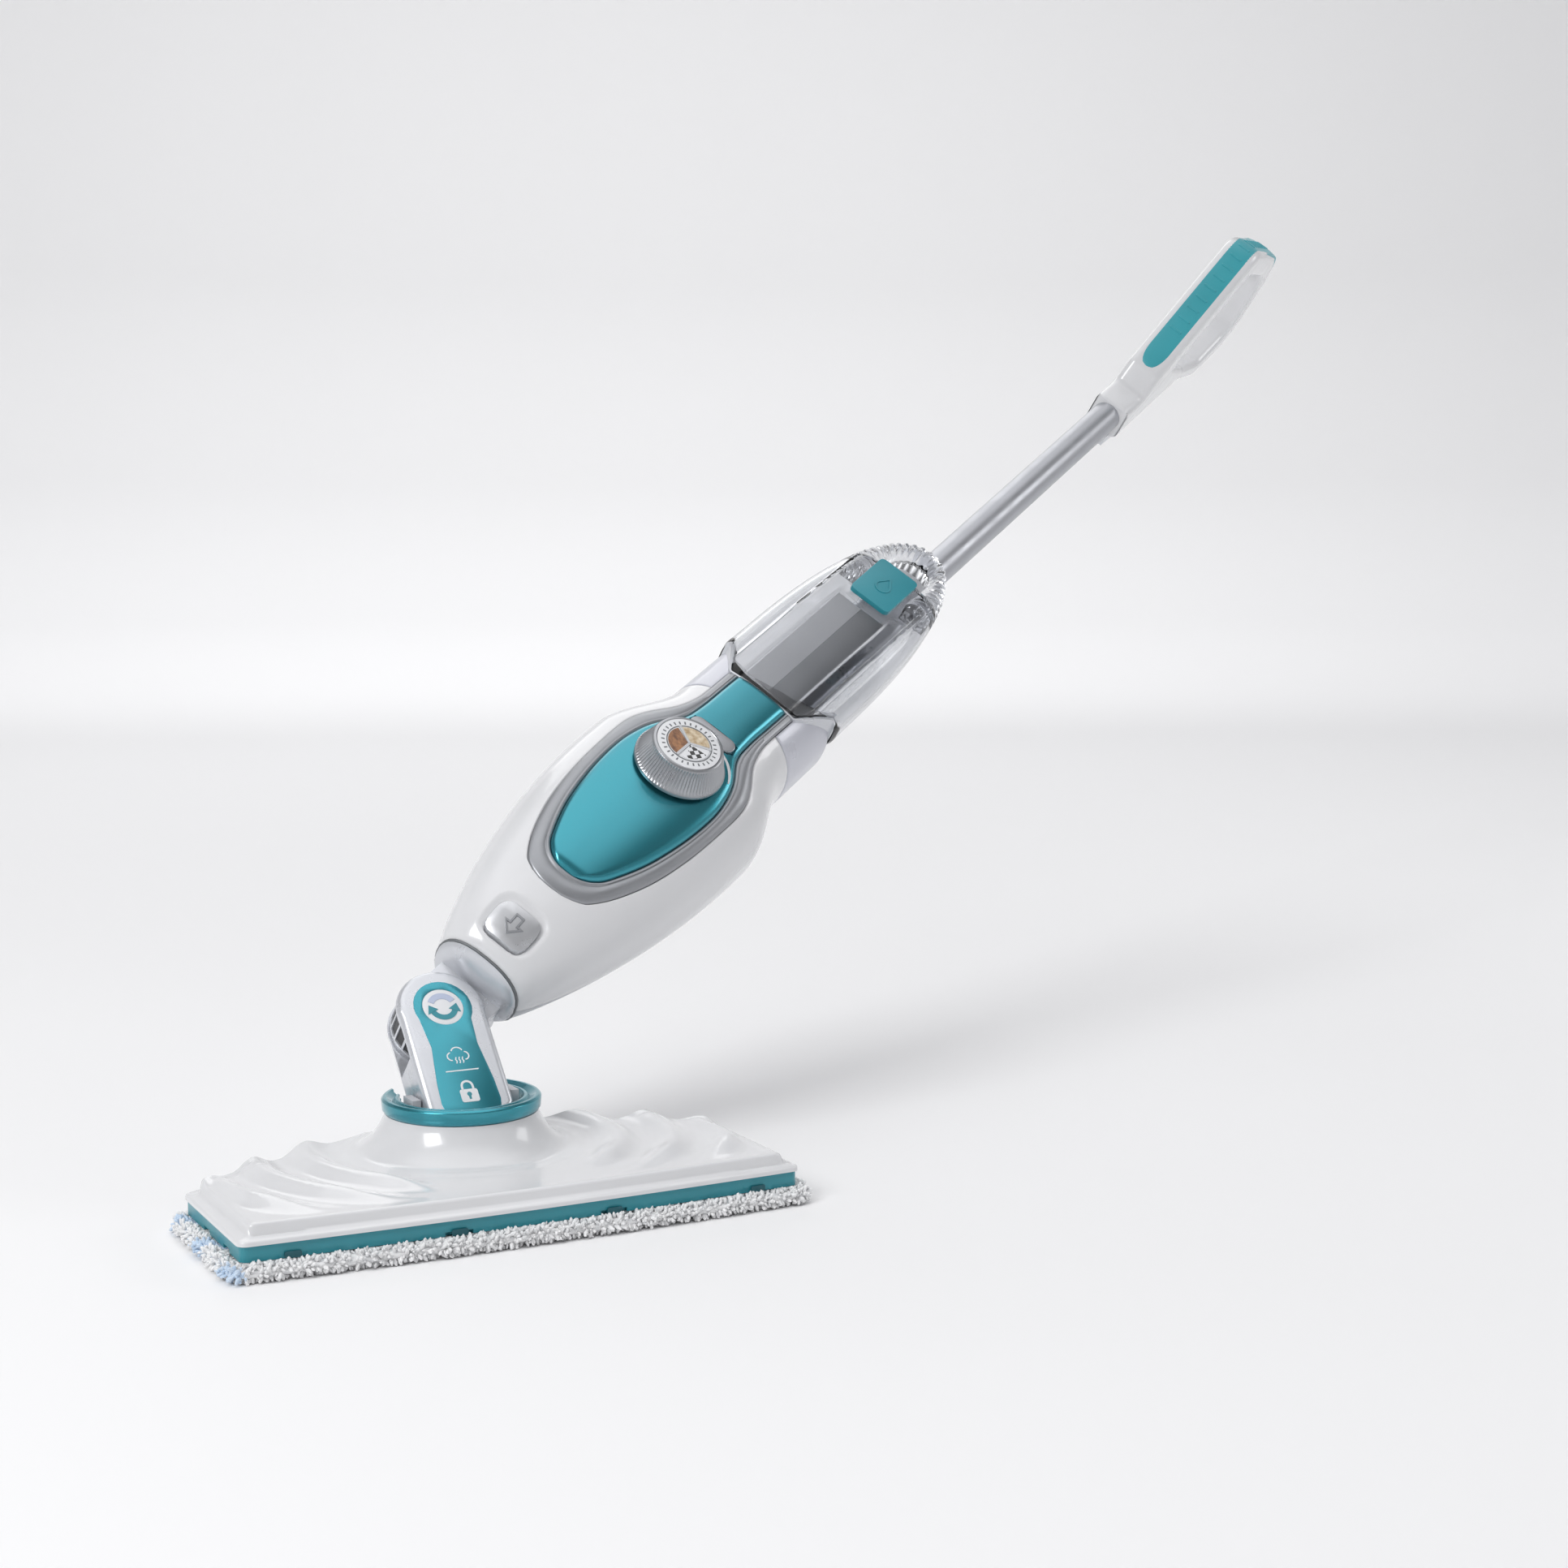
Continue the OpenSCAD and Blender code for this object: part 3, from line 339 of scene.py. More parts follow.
class Finish:
    """One node material; every pattern reads the piece's own Object coordinates."""

    def __init__(self, name, colour, roughness, metallic=0.0, **sockets):
        self.mat = bpy.data.materials.new(name)
        self.mat.use_nodes = True
        self.mat.diffuse_color = (*colour, 1)
        self.tree = self.mat.node_tree
        self.shader = self.tree.nodes["Principled BSDF"]
        self.colour = colour
        self.set("Base Color", (*colour, 1))
        self.set("Roughness", roughness)
        self.set("Metallic", metallic)
        for key, value in sockets.items():
            self.set(key.replace("_", " "), value)
        self.where = node_in(self.tree, "ShaderNodeTexCoord").outputs["Object"]

    def set(self, socket, value):
        wanted = {s.name.lower(): s for s in self.shader.inputs}
        wanted[socket.lower()].default_value = value

    def join(self, a, socket):
        self.tree.links.new(a, self.shader.inputs[socket])

    def noise(self, scale, detail=4, stretch=(1, 1, 1), turn=(0, 0, 0)):
        spot = node_in(self.tree, "ShaderNodeMapping", Scale=stretch, Rotation=turn, Vector=self.where)
        return node_in(self.tree, "ShaderNodeTexNoise", Scale=scale, Detail=detail,
                       Vector=spot.outputs["Vector"]).outputs["Fac"]

    def band(self, source, low, high):
        """The middle of a noise's range, spread from low to high."""
        return node_in(self.tree, "ShaderNodeMapRange", To_Min=low, To_Max=high, From_Min=0.3,
                       From_Max=0.7,
                       Value=source).outputs["Result"]

    def blend(self, source, first, second):
        """Base colour from first to second."""
        made = node_in(self.tree, "ShaderNodeMix", data_type="RGBA")
        made.inputs[6].default_value = (*first, 1)
        made.inputs[7].default_value = (*second, 1)
        self.tree.links.new(source, made.inputs[0])
        self.join(made.outputs[2], "Base Color")

    def mottled(self, scale, detail, first, second, **more):
        self.blend(self.band(self.noise(scale, detail, **more), 0, 1), first, second)

    def bump(self, source, strength, distance=0.0004):
        made = node_in(self.tree, "ShaderNodeBump", Strength=strength, Distance=distance, Height=source)
        self.join(made.outputs["Normal"], "Normal")

    def moulded(self, vary=0.04, roughness=(0.2, 0.3), grain=900, strength=0.03):
        """Slight shade changes, uneven gloss and a very fine grain."""
        light = tuple(min(1, c * (1 + vary)) for c in self.colour)
        dark = tuple(c * (1 - vary) for c in self.colour)
        self.mottled(22, 3, dark, light)
        self.join(self.band(self.noise(60, 5), *roughness), "Roughness")
        self.bump(self.noise(grain, 2), strength)
        return self


white = Finish("white_gloss", (0.73, 0.735, 0.75), 0.22, coat_weight=0.45, coat_roughness=0.06)
white.moulded(0.012, (0.17, 0.24), 700, 0.012)
pearl = Finish("pearl_white", (0.64, 0.655, 0.69), 0.28, 0.45, coat_weight=0.4, coat_roughness=0.1)
pearl.moulded(0.02, (0.24, 0.33), 1400, 0.03)
shoulder_finish = Finish("shoulder_lavender", (0.58, 0.59, 0.65), 0.32, 0.15, coat_weight=0.3)
shoulder_finish.moulded(0.02, (0.27, 0.36), 1400, 0.03)
rear_grey = Finish("rear_shell_grey", (0.54, 0.55, 0.58), 0.33, coat_weight=0.2)
rear_grey.moulded(0.02, (0.3, 0.4), 1500, 0.05)
teal_satin = Finish("teal_satin", (0.028, 0.27, 0.33), 0.34, coat_weight=0.15, coat_roughness=0.2)
teal_satin.moulded(0.05, (0.29, 0.4), 1300, 0.05)
teal_metal = Finish("teal_metallic", (0.035, 0.31, 0.37), 0.27, 0.88, coat_weight=0.55,
                    coat_roughness=0.05)
teal_metal.mottled(5200, 2, (0.03, 0.26, 0.325), (0.05, 0.34, 0.41))
teal_metal.bump(teal_metal.noise(5200, 1), 0.03, 0.0001)
silver = Finish("silver_satin", (0.40, 0.41, 0.43), 0.3, 0.8).moulded(0.03, (0.26, 0.36), 2600, 0.04)
bezel_grey = Finish("bezel_silver", (0.34, 0.35, 0.37), 0.34, 0.55).moulded(0.03, (0.3, 0.4), 2600, 0.04)
silver_light = Finish("silver_button", (0.60, 0.61, 0.63), 0.3, 0.65)
silver_light.moulded(0.03, (0.26, 0.36), 2600, 0.04)
tube_metal = Finish("satin_tube", (0.47, 0.48, 0.51), 0.36, 0.7).moulded(0.03, (0.28, 0.42), 400, 0.02)
grip_teal = Finish("soft_grip", (0.045, 0.36, 0.42), 0.42, sheen_weight=0.25, sheen_roughness=0.4)
grip_teal.moulded(0.04, (0.38, 0.5), 1600, 0.12)
dark = Finish("dark_plastic", (0.035, 0.036, 0.04), 0.4).moulded(0.1, (0.35, 0.5), 1200, 0.08)
rubber = Finish("black_rubber", (0.02, 0.02, 0.021), 0.6).moulded(0.1, (0.5, 0.7), 900, 0.1)
gasket_finish = Finish("gasket_grey", (0.20, 0.21, 0.22), 0.4, 0.5).moulded(0.05, (0.35, 0.5), 900, 0.05)
steel = Finish("plated_steel", (0.55, 0.56, 0.57), 0.25, 1.0).moulded(0.04, (0.2, 0.35), 1800, 0.05)
aluminium = Finish("cast_aluminium", (0.5, 0.51, 0.52), 0.45, 1.0).moulded(0.05, (0.4, 0.6), 600, 0.2)
brass = Finish("brass_fitting", (0.6, 0.42, 0.16), 0.3, 1.0).moulded(0.05, (0.25, 0.4), 1500, 0.05)
board = Finish("board_green", (0.02, 0.12, 0.05), 0.35).moulded(0.1, (0.3, 0.45), 800, 0.05)
tan_body = Finish("thermostat_tan", (0.28, 0.18, 0.1), 0.5).moulded(0.08, (0.4, 0.6), 900, 0.08)
silicone = Finish("silicone_tube", (0.7, 0.7, 0.68), 0.4, subsurface_weight=0.2)
silicone.moulded(0.03, (0.35, 0.5), 700, 0.05)
print_white = Finish("printed_white", (0.80, 0.81, 0.83), 0.35).moulded(0.01, (0.3, 0.4), 2000, 0.02)
print_grey = Finish("printed_grey", (0.16, 0.17, 0.18), 0.4).moulded(0.03, (0.35, 0.45), 2000, 0.02)
print_lilac = Finish("printed_lilac", (0.50, 0.56, 0.72), 0.35).moulded(0.02, (0.3, 0.4), 2000, 0.02)

pile = Finish("white_pile", (0.93, 0.935, 0.94), 0.85, sheen_weight=0.6, sheen_roughness=0.5,
              subsurface_weight=0.5, subsurface_scale=0.002)
pile.set("Subsurface Radius", (1, 1, 1))
pile.mottled(260, 4, (0.86, 0.87, 0.885), (0.97, 0.97, 0.975))
pile.bump(pile.noise(2400, 3), 0.5, 0.0004)
pile_blue = Finish("blue_stripe_pile", (0.45, 0.60, 0.78), 0.85, sheen_weight=0.5,
                   sheen_roughness=0.5)
pile_blue.mottled(260, 4, (0.50, 0.66, 0.85), (0.70, 0.80, 0.92))
pile_blue.bump(pile_blue.noise(2400, 3), 0.5, 0.0004)

# Clear plastic; its grey tint is painted shade for the darker look the tank takes from its surroundings,
# with random blotches of tone.
clear = Finish("clear_shade_tint", (0.80, 0.82, 0.84), 0.04, transmission_weight=1.0, ior=1.33,
               coat_weight=0.2)
clear.join(clear.band(clear.noise(30, 3), 0.02, 0.07), "Roughness")
clear.mottled(8, 2, (0.72, 0.73, 0.75), (0.82, 0.83, 0.85))
# Grey for a plate behind the tank's window: painted shade, not a part's own colour.
tank_shade_grey = Finish("tank_shade_grey", (0.30, 0.31, 0.325), 0.35, 0.2).moulded(0.05, (0.3, 0.42), 1500, 0.03)
# Darker teal for the finger notches: painted shade standing for the hollow of each notch.
notch_shade_teal = Finish("painted_notch_shade", (0.012, 0.10, 0.125), 0.5).moulded(0.05, (0.45, 0.6), 1300, 0.05)

wood = Finish("wood_print", (0.25, 0.10, 0.035), 0.3, coat_weight=0.4)
wood.mottled(420, 5, (0.13, 0.045, 0.015), (0.42, 0.19, 0.07), stretch=(1, 1, 0.15), turn=(0.4, 0.3, 0))
marble = Finish("marble_print", (0.55, 0.42, 0.25), 0.3, coat_weight=0.4)
marble.mottled(300, 6, (0.40, 0.26, 0.12), (0.80, 0.70, 0.52))
tile_black = Finish("tile_black", (0.02, 0.02, 0.02), 0.3, coat_weight=0.4)
tile_black.moulded(0.2, (0.25, 0.35), 2000, 0.02)

FINISH_OF_SLOT = {
    "pad_pile": pile, "hook_strip": rubber, "teal_plastic": teal_satin,
    "teal_metallic": teal_metal, "white_plastic": white, "pearl_plastic": pearl,
    "grey_plastic": rear_grey, "silver_trim": silver, "dial_face": print_white,
    "clear_tank": clear, "dark_plastic": dark, "black_rubber": rubber, "soft_grip": grip_teal,
    "satin_tube": tube_metal, "plated_steel": steel, "boiler_metal": aluminium,
    "brass_fitting": brass, "thermostat_body": tan_body, "board_green": board,
    "silicone_tube": silicone}


# ---- Pieces ----
def settle(obj):
    """Modifiers are made part of the mesh."""
    view = bpy.context.evaluated_depsgraph_get()
    view.update()
    mesh = bpy.data.meshes.new_from_object(obj.evaluated_get(view), depsgraph=view)
    obj.modifiers.clear()
    old, obj.data = obj.data, mesh
    bpy.data.meshes.remove(old)
    return obj


def piece(name, form, place, body, finish, slot, stands_for=(), wall=0.0, bevel=0.0, crisp=35,
          also=()):
    """A finished object: form is a bmesh in millimetres, or a mesh already in metres."""
    if isinstance(form, bmesh.types.BMesh):
        mesh = meshed(name, form, place)
    else:
        mesh = form
        mesh.name = name
    mesh.materials.clear()
    for coat in (finish, *also):
        mesh.materials.append(coat.mat)
    obj = placed(name, mesh)
    if wall:
        thick = obj.modifiers.new("wall", "SOLIDIFY")
        thick.thickness = wall / 1000
        thick.offset = -1
    if bevel:
        edge = obj.modifiers.new("edge", "BEVEL")
        edge.width = bevel / 1000
        edge.segments = 3
        edge.limit_method = "ANGLE"
        edge.angle_limit = radians(38)
        edge.harden_normals = False
    if wall or bevel:
        settle(obj)
    obj.data.shade_smooth()
    obj.data.set_sharp_from_angle(angle=radians(crisp))
    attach(obj, body)
    if stands_for:
        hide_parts(*stands_for)
    return obj


def mark(name, form, body, finish, slot, **more):
    """A small piece whose form is already turned into the row frame's millimetres."""
    piece(name, form, ROW, body, finish, slot, crisp=30, **more)


def refined(node, bevel=0.0, finish=None, crisp=35):
    """A CAD node's own shape with joined faces, softened edges and smooth curves."""
    form = bmesh.new()
    form.from_mesh(nodes[node].data)
    bmesh.ops.remove_doubles(form, verts=form.verts, dist=2e-6)
    bmesh.ops.dissolve_limit(form, angle_limit=radians(0.4), verts=form.verts, edges=form.edges)
    slot = slot_of_node[node]
    return piece(node + "_made", meshed(node, form), None, body_of_node[node],
                 finish or FINISH_OF_SLOT[slot], slot, (node,), bevel=bevel, crisp=crisp)


# ---- Repeats: one tree sets a shape on points that carry their own turn and size ----
def tree_on(name, sockets):
    """A tree with a geometry input and output, and further named inputs."""
    tree = bpy.data.node_groups.new(name, "GeometryNodeTree")
    tree.interface.new_socket("Geometry", in_out="INPUT", socket_type="NodeSocketGeometry")
    for label, kind, value in sockets:
        made = tree.interface.new_socket(label, in_out="INPUT", socket_type=kind)
        if value is not None:
            made.default_value = value
    tree.interface.new_socket("Geometry", in_out="OUTPUT", socket_type="NodeSocketGeometry")
    return tree, tree.nodes.new("NodeGroupInput"), tree.nodes.new("NodeGroupOutput")


def finish_tree(tree, source, end, finish_socket):
    """Ends a tree with real geometry and its finish."""
    real = node_in(tree, "GeometryNodeRealizeInstances", Geometry=source)
    paint = node_in(tree, "GeometryNodeSetMaterial", Geometry=real.outputs["Geometry"],
                    Material=finish_socket)
    tree.links.new(paint.outputs["Geometry"], end.inputs["Geometry"])


def repeat_tree():
    tree, start, end = tree_on("set_on_points", [("Shape", "NodeSocketObject", None),
                                                 ("Finish", "NodeSocketMaterial", None)])
    info = node_in(tree, "GeometryNodeObjectInfo", Object=start.outputs["Shape"])
    turn, size = [node_in(tree, "GeometryNodeInputNamedAttribute", data_type="FLOAT_VECTOR", Name=label)
                  .outputs["Attribute"] for label in ("turn", "size")]
    put = node_in(tree, "GeometryNodeInstanceOnPoints", Points=start.outputs["Geometry"],
                  Instance=info.outputs["Geometry"], Rotation=turn, Scale=size)
    finish_tree(tree, put.outputs["Instances"], end, start.outputs["Finish"])
    return tree


def run_tree(name, mesh, tree, values):
    """The tree's result as a plain mesh."""
    obj = placed(name, mesh)
    made = obj.modifiers.new("made", "NODES")
    made.node_group = tree
    keys = {s.name: s.identifier for s in tree.interface.items_tree if s.in_out == "INPUT"}
    for label, value in values.items():
        made[keys[label]] = value
    view = bpy.context.evaluated_depsgraph_get()
    view.update()
    result = bpy.data.meshes.new_from_object(obj.evaluated_get(view), depsgraph=view)
    bpy.data.objects.remove(obj)
    return result


REPEAT = repeat_tree()


def repeated(name, shape, places, body, finish, slot, crisp=35):
    """shape is a small bmesh in millimetres; places are matrices in the row frame."""
    pattern = placed(name + "_shape", meshed(name + "_shape", shape, ROW))
    points = bpy.data.meshes.new(name)
    points.from_pydata([m.translation for m in places], [], [])
    turn = points.attributes.new("turn", "FLOAT_VECTOR", "POINT")
    size = points.attributes.new("size", "FLOAT_VECTOR", "POINT")
    for i, m in enumerate(places):
        turn.data[i].vector = m.to_euler()
        size.data[i].vector = m.to_scale() * 1000
    result = run_tree(name, points, REPEAT, {"Shape": pattern, "Finish": finish.mat})
    bpy.data.objects.remove(pattern)
    return piece(name, result, None, body, finish, slot, crisp=crisp)


def bar(width, length, height, n=6):
    """A low rounded bar lying along x, standing up along z."""
    rows = []
    for t in spread(-1, 1, 2 * n + 1):
        past = max(0, abs(t) * length - (length - width)) / width
        reach = max(0.06, sqrt(max(0, 1 - past ** 2)))
        rows.append([Vector((t * length / 2, width / 2 * reach * cos(a), height * reach * sin(a)))
                     for a in spread(0, 2 * pi, 9)[:-1]])
    return loft(rows)


# ---- Camera, light and floor ----
def studio():
    camera = placed("camera", bpy.data.cameras.new("camera"))
    camera.data.lens = 55.96
    camera.data.sensor_width = 36
    camera.data.clip_end = 60
    camera.location = (-0.4366, -1.1647, 0.3354)
    camera.rotation_euler = Vector((0.4705, 0.8768, -0.0997)).to_track_quat("-Z", "Y").to_euler()
    bpy.context.scene.camera = camera

    rows = []
    for r, z in [(0.01, 0), (2, 0), (4.5, 0), (5.6, 0.1), (6.6, 0.5), (7.3, 1.2), (7.6, 2.2), (7.7, 4.5)]:
        rows.append([Vector((r * cos(a), r * sin(a), z - 0.0002))
                     for a in spread(0, 2 * pi, 65)[:-1]])
    sweep = facing_out(grid(rows, wrap=True)[0], Vector((0, 0, 3)))
    bmesh.ops.reverse_faces(sweep, faces=sweep.faces)
    mesh = meshed("floor", sweep)
    mesh.shade_smooth()
    mesh.materials.append(Finish("pale_floor", (0.9, 0.9, 0.905), 0.8).mat)
    placed("floor", mesh)

    world = bpy.data.worlds.new("studio")
    world.use_nodes = True
    sky = world.node_tree
    toward = node_in(sky, "ShaderNodeTexCoord")
    split = node_in(sky, "ShaderNodeSeparateXYZ", Vector=toward.outputs["Generated"])
    ramp = node_in(sky, "ShaderNodeValToRGB", Fac=split.outputs["Z"])
    for spot, level in ((0.0, 0.14), (0.78, 0.14), (0.92, 1.0)):
        stop = ramp.color_ramp.elements.new(spot)
        stop.color = (level, level, level * 1.02, 1)
    sky.links.new(ramp.outputs["Color"], sky.nodes["Background"].inputs["Color"])
    sky.nodes["Background"].inputs["Strength"].default_value = 1.5
    bpy.context.scene.world = world
    bpy.context.scene.view_settings.view_transform = "Standard"
    for name, spot, aim, size, power in (
            ("key", (-1.7, -0.7, 1.5), (0.25, 0, 0.25), 0.9, 24),
            ("side", (2.2, -0.5, 1.2), (0.3, 0, 0.25), 0.7, 5),
            ("back", (0.9, 2.6, 2.4), (0.5, 1.4, 0), 2.0, 18),
            ("wall", (1.6, 3.6, 3.2), (3.4, 7.6, 1.8), 3.0, 60)):
        lamp = placed(name, bpy.data.lights.new(name, "AREA"))
        lamp.data.energy = power
        lamp.data.size = size
        lamp.location = spot
        lamp.rotation_euler = (Vector(aim) - Vector(spot)).to_track_quat("-Z", "Y").to_euler()


studio()

# ---- Head ----
HEAD_CORNERS = [(HEAD_HALF_W * (i / 4 - 1), -HEAD_FRONT - FRONT_BOW * sin(pi * i / 8))
                for i in range(9)]
HEAD_CORNERS += [(HEAD_HALF_W, -3), (38, 58), (-38, 58), (-HEAD_HALF_W, -3)]


def head_outline(d, n=6):
    return rounded_path(grown(HEAD_CORNERS, d), [max(0.6, 5 + min(d, 4))] * len(HEAD_CORNERS), n)


def outline_reach(outline, angle):
    """Distance from the middle to an outline, in one direction."""
    u = Vector((cos(angle), sin(angle)))
    best = 0
    for a, b in zip(outline, outline[1:] + outline[:1]):
        a, b = Vector(a), Vector(b)
        e = b - a
        det = u.x * -e.y + u.y * e.x
        if abs(det) > 1e-9:
            t = (a.x * -e.y + a.y * e.x) / det
            k = (u.x * a.y - u.y * a.x) / det
            if t > 0 and -1e-6 <= k <= 1 + 1e-6:
                best = max(best, t)
    return best


def cover():
    """The white cover: flange, platform with rings of waves, and the hub that rises to the collar."""
    edge, top = head_outline(0), head_outline(-8.5)
    angles = sorted(set([round(2 * pi * i / 336, 5) for i in range(336)]
                        + [round(atan2(p.y, p.x) % (2 * pi), 5) for p in edge]))
    rows = [[] for _ in range(64)]
    for a in angles:
        u = Vector((cos(a), sin(a), 0))
        out, flat = outline_reach(edge, a), outline_reach(top, a)
        foot = min(57, flat - 4)
        line = [(35.5, 36.0), (35.5, 43.2), (39.4, 43.6)]
        for t in spread(0, 1, 15)[1:]:
            line.append((39.4 + (foot - 39.4) * t ** 1.25, 25.2 + 18.4 * (1 - t) ** 1.7))
        for t in spread(0, 1, 38)[1:]:
            r = foot + (flat - foot) * t
            calm = smooth((flat - r - 1) / 9)
            front = smooth((r * u.y + 92) / 34)
            side = smooth((abs(r * u.x) - 36) / 26)
            wave = 0.5 - 0.5 * cos(2 * pi * max(0, r - 66) / 28)
            calm = max(calm, smooth((r * u.y + 20) / 30))
            line.append((r, 24.4 + 5.2 * wave ** 1.3 * front * side * calm
                         + 0.8 * (1 - smooth((r - foot) / 7))))
        z_top = line[-1][1]
        line += [(flat + 0.8, z_top - 0.5), (flat + 1.5, z_top - 1.6), (flat + 2.6, 20.0),
                 (flat + 3.6, 19.0),
                 (out - 1.2, 18.5), (out - 0.35, 18.2), (out, 17.5), (out, 16.1), (out - 2.4, 16.1),
                 (out - 2.4, 17.2)]
        for row, (r, z) in zip(rows, line):
            saddle = smooth((r * u.y - 9.5) / 1) * smooth((28 - abs(r * u.x)) / 1) * (r < 50)
            row.append(u * r + Vector((0, 0, z - saddle * max(0, z - 38.7))))
    rows = [r for r in rows if r]
    sheet = grid(rows, wrap=True)[0]
    return facing_out(sheet, Vector((0, 0, -400)))


piece("head_cover_shell", cover(), ROW, "head", white, "white_plastic", ("head_cover",), wall=0.9,
      crisp=50)
refined("sole_plate", 0.5)


def sole_notches():
    """Dark teal patches, just proud of the coloured band, that paint the shade of small finger notches
    along its lower edge.
    """
    forms = []
    for x in (-120, -40, 40, 120):
        along = pi * (x + HEAD_HALF_W) / (2 * HEAD_HALF_W)
        y = HEAD_FRONT + FRONT_BOW * sin(along)
        tilt = -atan(FRONT_BOW * pi / (2 * HEAD_HALF_W) * cos(along))
        turn = Matrix.Translation((x, -y, 0)) @ Matrix.Rotation(tilt, 4, "Z")
        forms.append(plate(rounded_box(8, 3.2, 0, 10.2, 0.8, 4), -0.6, 0.12, lambda p,
                           m=turn: m @ Vector(p)))
    return together(forms)


mark("sole_notches", sole_notches(), "head", notch_shade_teal, "teal_plastic")
refined("pivot_collar", 0.5, crisp=45)


def collar_funnel():
    """The broad sloping inner face of the collar's rim, open at the back where the fork folds."""
    section = [(38.9, 51.5), (38.0, 51.7), (36.6, 50.9), (34.4, 49.3), (32.7, 47.4), (32.7, 46.6),
               (38.9, 46.6)]
    rows = [[Vector((r * cos(a), r * sin(a), z)) for r, z in section]
            for a in (radians(t) for t in spread(141, 399, 90))]
    return loft(rows)


piece("collar_funnel", collar_funnel(), ROW, "head", teal_metal, "teal_metallic", crisp=40)
for node, bevel in (("pivot_base", 0.6), ("pitch_pin", 0.4), ("steam_nozzle", 0.3), ("head_screws", 0.2)):
    refined(node, bevel)


def pad_tree():
    tree, start, end = tree_on("pad_pile", [
        ("Density", "NodeSocketFloat", 400000.0), ("Length", "NodeSocketFloat", 0.0020),
        ("Width", "NodeSocketFloat", 0.0009), ("Finish", "NodeSocketMaterial", None)])
    given = start.outputs
    strew = node_in(tree, "GeometryNodeDistributePointsOnFaces", Seed=7, Mesh=given["Geometry"],
                    Density=given["Density"])
    ball = node_in(tree, "GeometryNodeMeshUVSphere", Segments=5, Rings=4, Radius=1.0)
    shift = node_in(tree, "GeometryNodeTransform", Translation=(0, 0, 0.6), Geometry=ball.outputs["Mesh"])
    tilt = node_in(tree, "FunctionNodeRandomValue", data_type="FLOAT_VECTOR", Min=(-0.75, -0.75, -3.1),
                   Max=(0.75, 0.75, 3.1), Seed=3)
    euler = node_in(tree, "FunctionNodeEulerToRotation", Euler=tilt.outputs["Value"])
    bend = node_in(tree, "FunctionNodeRotateRotation", rotation_space="LOCAL",
                   Rotation=strew.outputs["Rotation"], Rotate_By=euler.outputs["Rotation"])
    span = node_in(tree, "ShaderNodeCombineXYZ", X=given["Width"], Y=given["Width"], Z=given["Length"])
    vary = node_in(tree, "FunctionNodeRandomValue", data_type="FLOAT", Min=0.65, Max=1.3, Seed=11)
    scale = node_in(tree, "ShaderNodeVectorMath", operation="SCALE", Vector=span.outputs["Vector"],
                    Scale=[s for s in vary.outputs if s.enabled][0])
    put = node_in(tree, "GeometryNodeInstanceOnPoints", Points=strew.outputs["Points"],
                  Instance=shift.outputs["Geometry"], Rotation=bend.outputs["Rotation"],
                  Scale=scale.outputs["Vector"])
    both = node_in(tree, "GeometryNodeJoinGeometry", Geometry=put.outputs["Instances"])
    tree.links.new(given["Geometry"], both.inputs["Geometry"])
    finish_tree(tree, both.outputs["Geometry"], end, given["Finish"])
    return tree


def pad():
    """A flat sewn pad with a crowned edge, thick with short loops."""
    rows = []
    for d, z in [(-40, 1.5), (-9, 1.5), (0, 1.6), (3.0, 2.1), (4.6, 3.2), (5.0, 4.3), (4.4, 5.6),
                 (3.0, 6.4),
                 (0, 6.8), (-3, 6.9), (-9, 6.9), (-40, 6.9)]:
        rows.append([Vector((p.x, p.y, z)) for p in head_outline(d)])
    made = run_tree("pad_base", meshed("pad_base", loft(rows), ROW), pad_tree(), {"Finish": pile.mat})
    lowest, under_cover = 0.0002, 0.0084
    for v in made.vertices:
        if v.co.z < lowest:
            v.co.z = lowest
        if v.co.z > under_cover and outline_inside(v.co * 1000):
            v.co.z = under_cover
    obj = piece("mop_pad_pile", made, None, "head", pile, "pad_pile", ("mop_pad",), crisp=80,
                also=(pile_blue,))
    stripes_from, stripe_pitch, stripe_width = -126, 26, 7
    for f in obj.data.polygons:
        c = f.center * 1000
        if c.x < stripes_from and (c.x + 0.55 * c.y) % stripe_pitch < stripe_width:
            f.material_index = 1


COVER_EDGE = head_outline(0.5)


def outline_inside(p):
    """Is a point under the head cover?"""
    return Vector((p.x, p.y)).length < outline_reach(COVER_EDGE, atan2(p.y, p.x))


pad()

# ---- Fork ----
def fork_outline(foot, inset, cut=None):
    """The fork's outline in x and z, moved inwards; cut is the height of a flat top."""
    wide, narrow = 23.5 - inset, 18.5 - inset
    pts = [(-wide, -8), (-narrow, foot + inset), (narrow, foot + inset), (wide, -8)]
    if cut is not None:
        return pts + [(wide, cut), (-wide, cut)]
    ear = arc(0, FORK_LEN, EAR_R - inset, 0, 180, 60)
    return pts + [(wide, FORK_LEN - 4)] + ear + [(-wide, FORK_LEN - 4)]


def fork_half(side, foot):
    """One half: a softly rounded cheek with its ear, and the solid block below the neck's gap."""
    soft, gap_half, gap_foot = 4.2, 9.4, 26
    rings = [[Vector((x, -side * gap_half, z)) for x, z in fork_outline(foot, 0)]]
    for a in spread(0, pi / 2, 9):
        inset, depth = soft * (1 - cos(a)), FORK_HALF_T - soft + soft * sin(a)
        rings.append([Vector((x, -side * depth, z)) for x, z in fork_outline(foot, inset)])
    low, high = sorted((0.02 * side, side * (gap_half + 0.4)))
    return together([loft(rings), plate(fork_outline(foot, 0.06, gap_foot), low, high, Vector)])


for label, side, foot in (("front", 1, -16), ("rear", -1, -9)):
    piece("fork_%s_half" % label, fork_half(side, foot), FORK, "fork", pearl, "pearl_plastic",
          ("fork_" + label,), crisp=40)
refined("fork_label", 0.15)
refined("roll_pin", 0.3, finish=print_white)
refined("fork_screws", 0.2)
refined("fork_hose", 0.2)
LABEL_H = FORK_HALF_T + 0.2


def at_fork(p):
    return LEAN @ Vector(p)


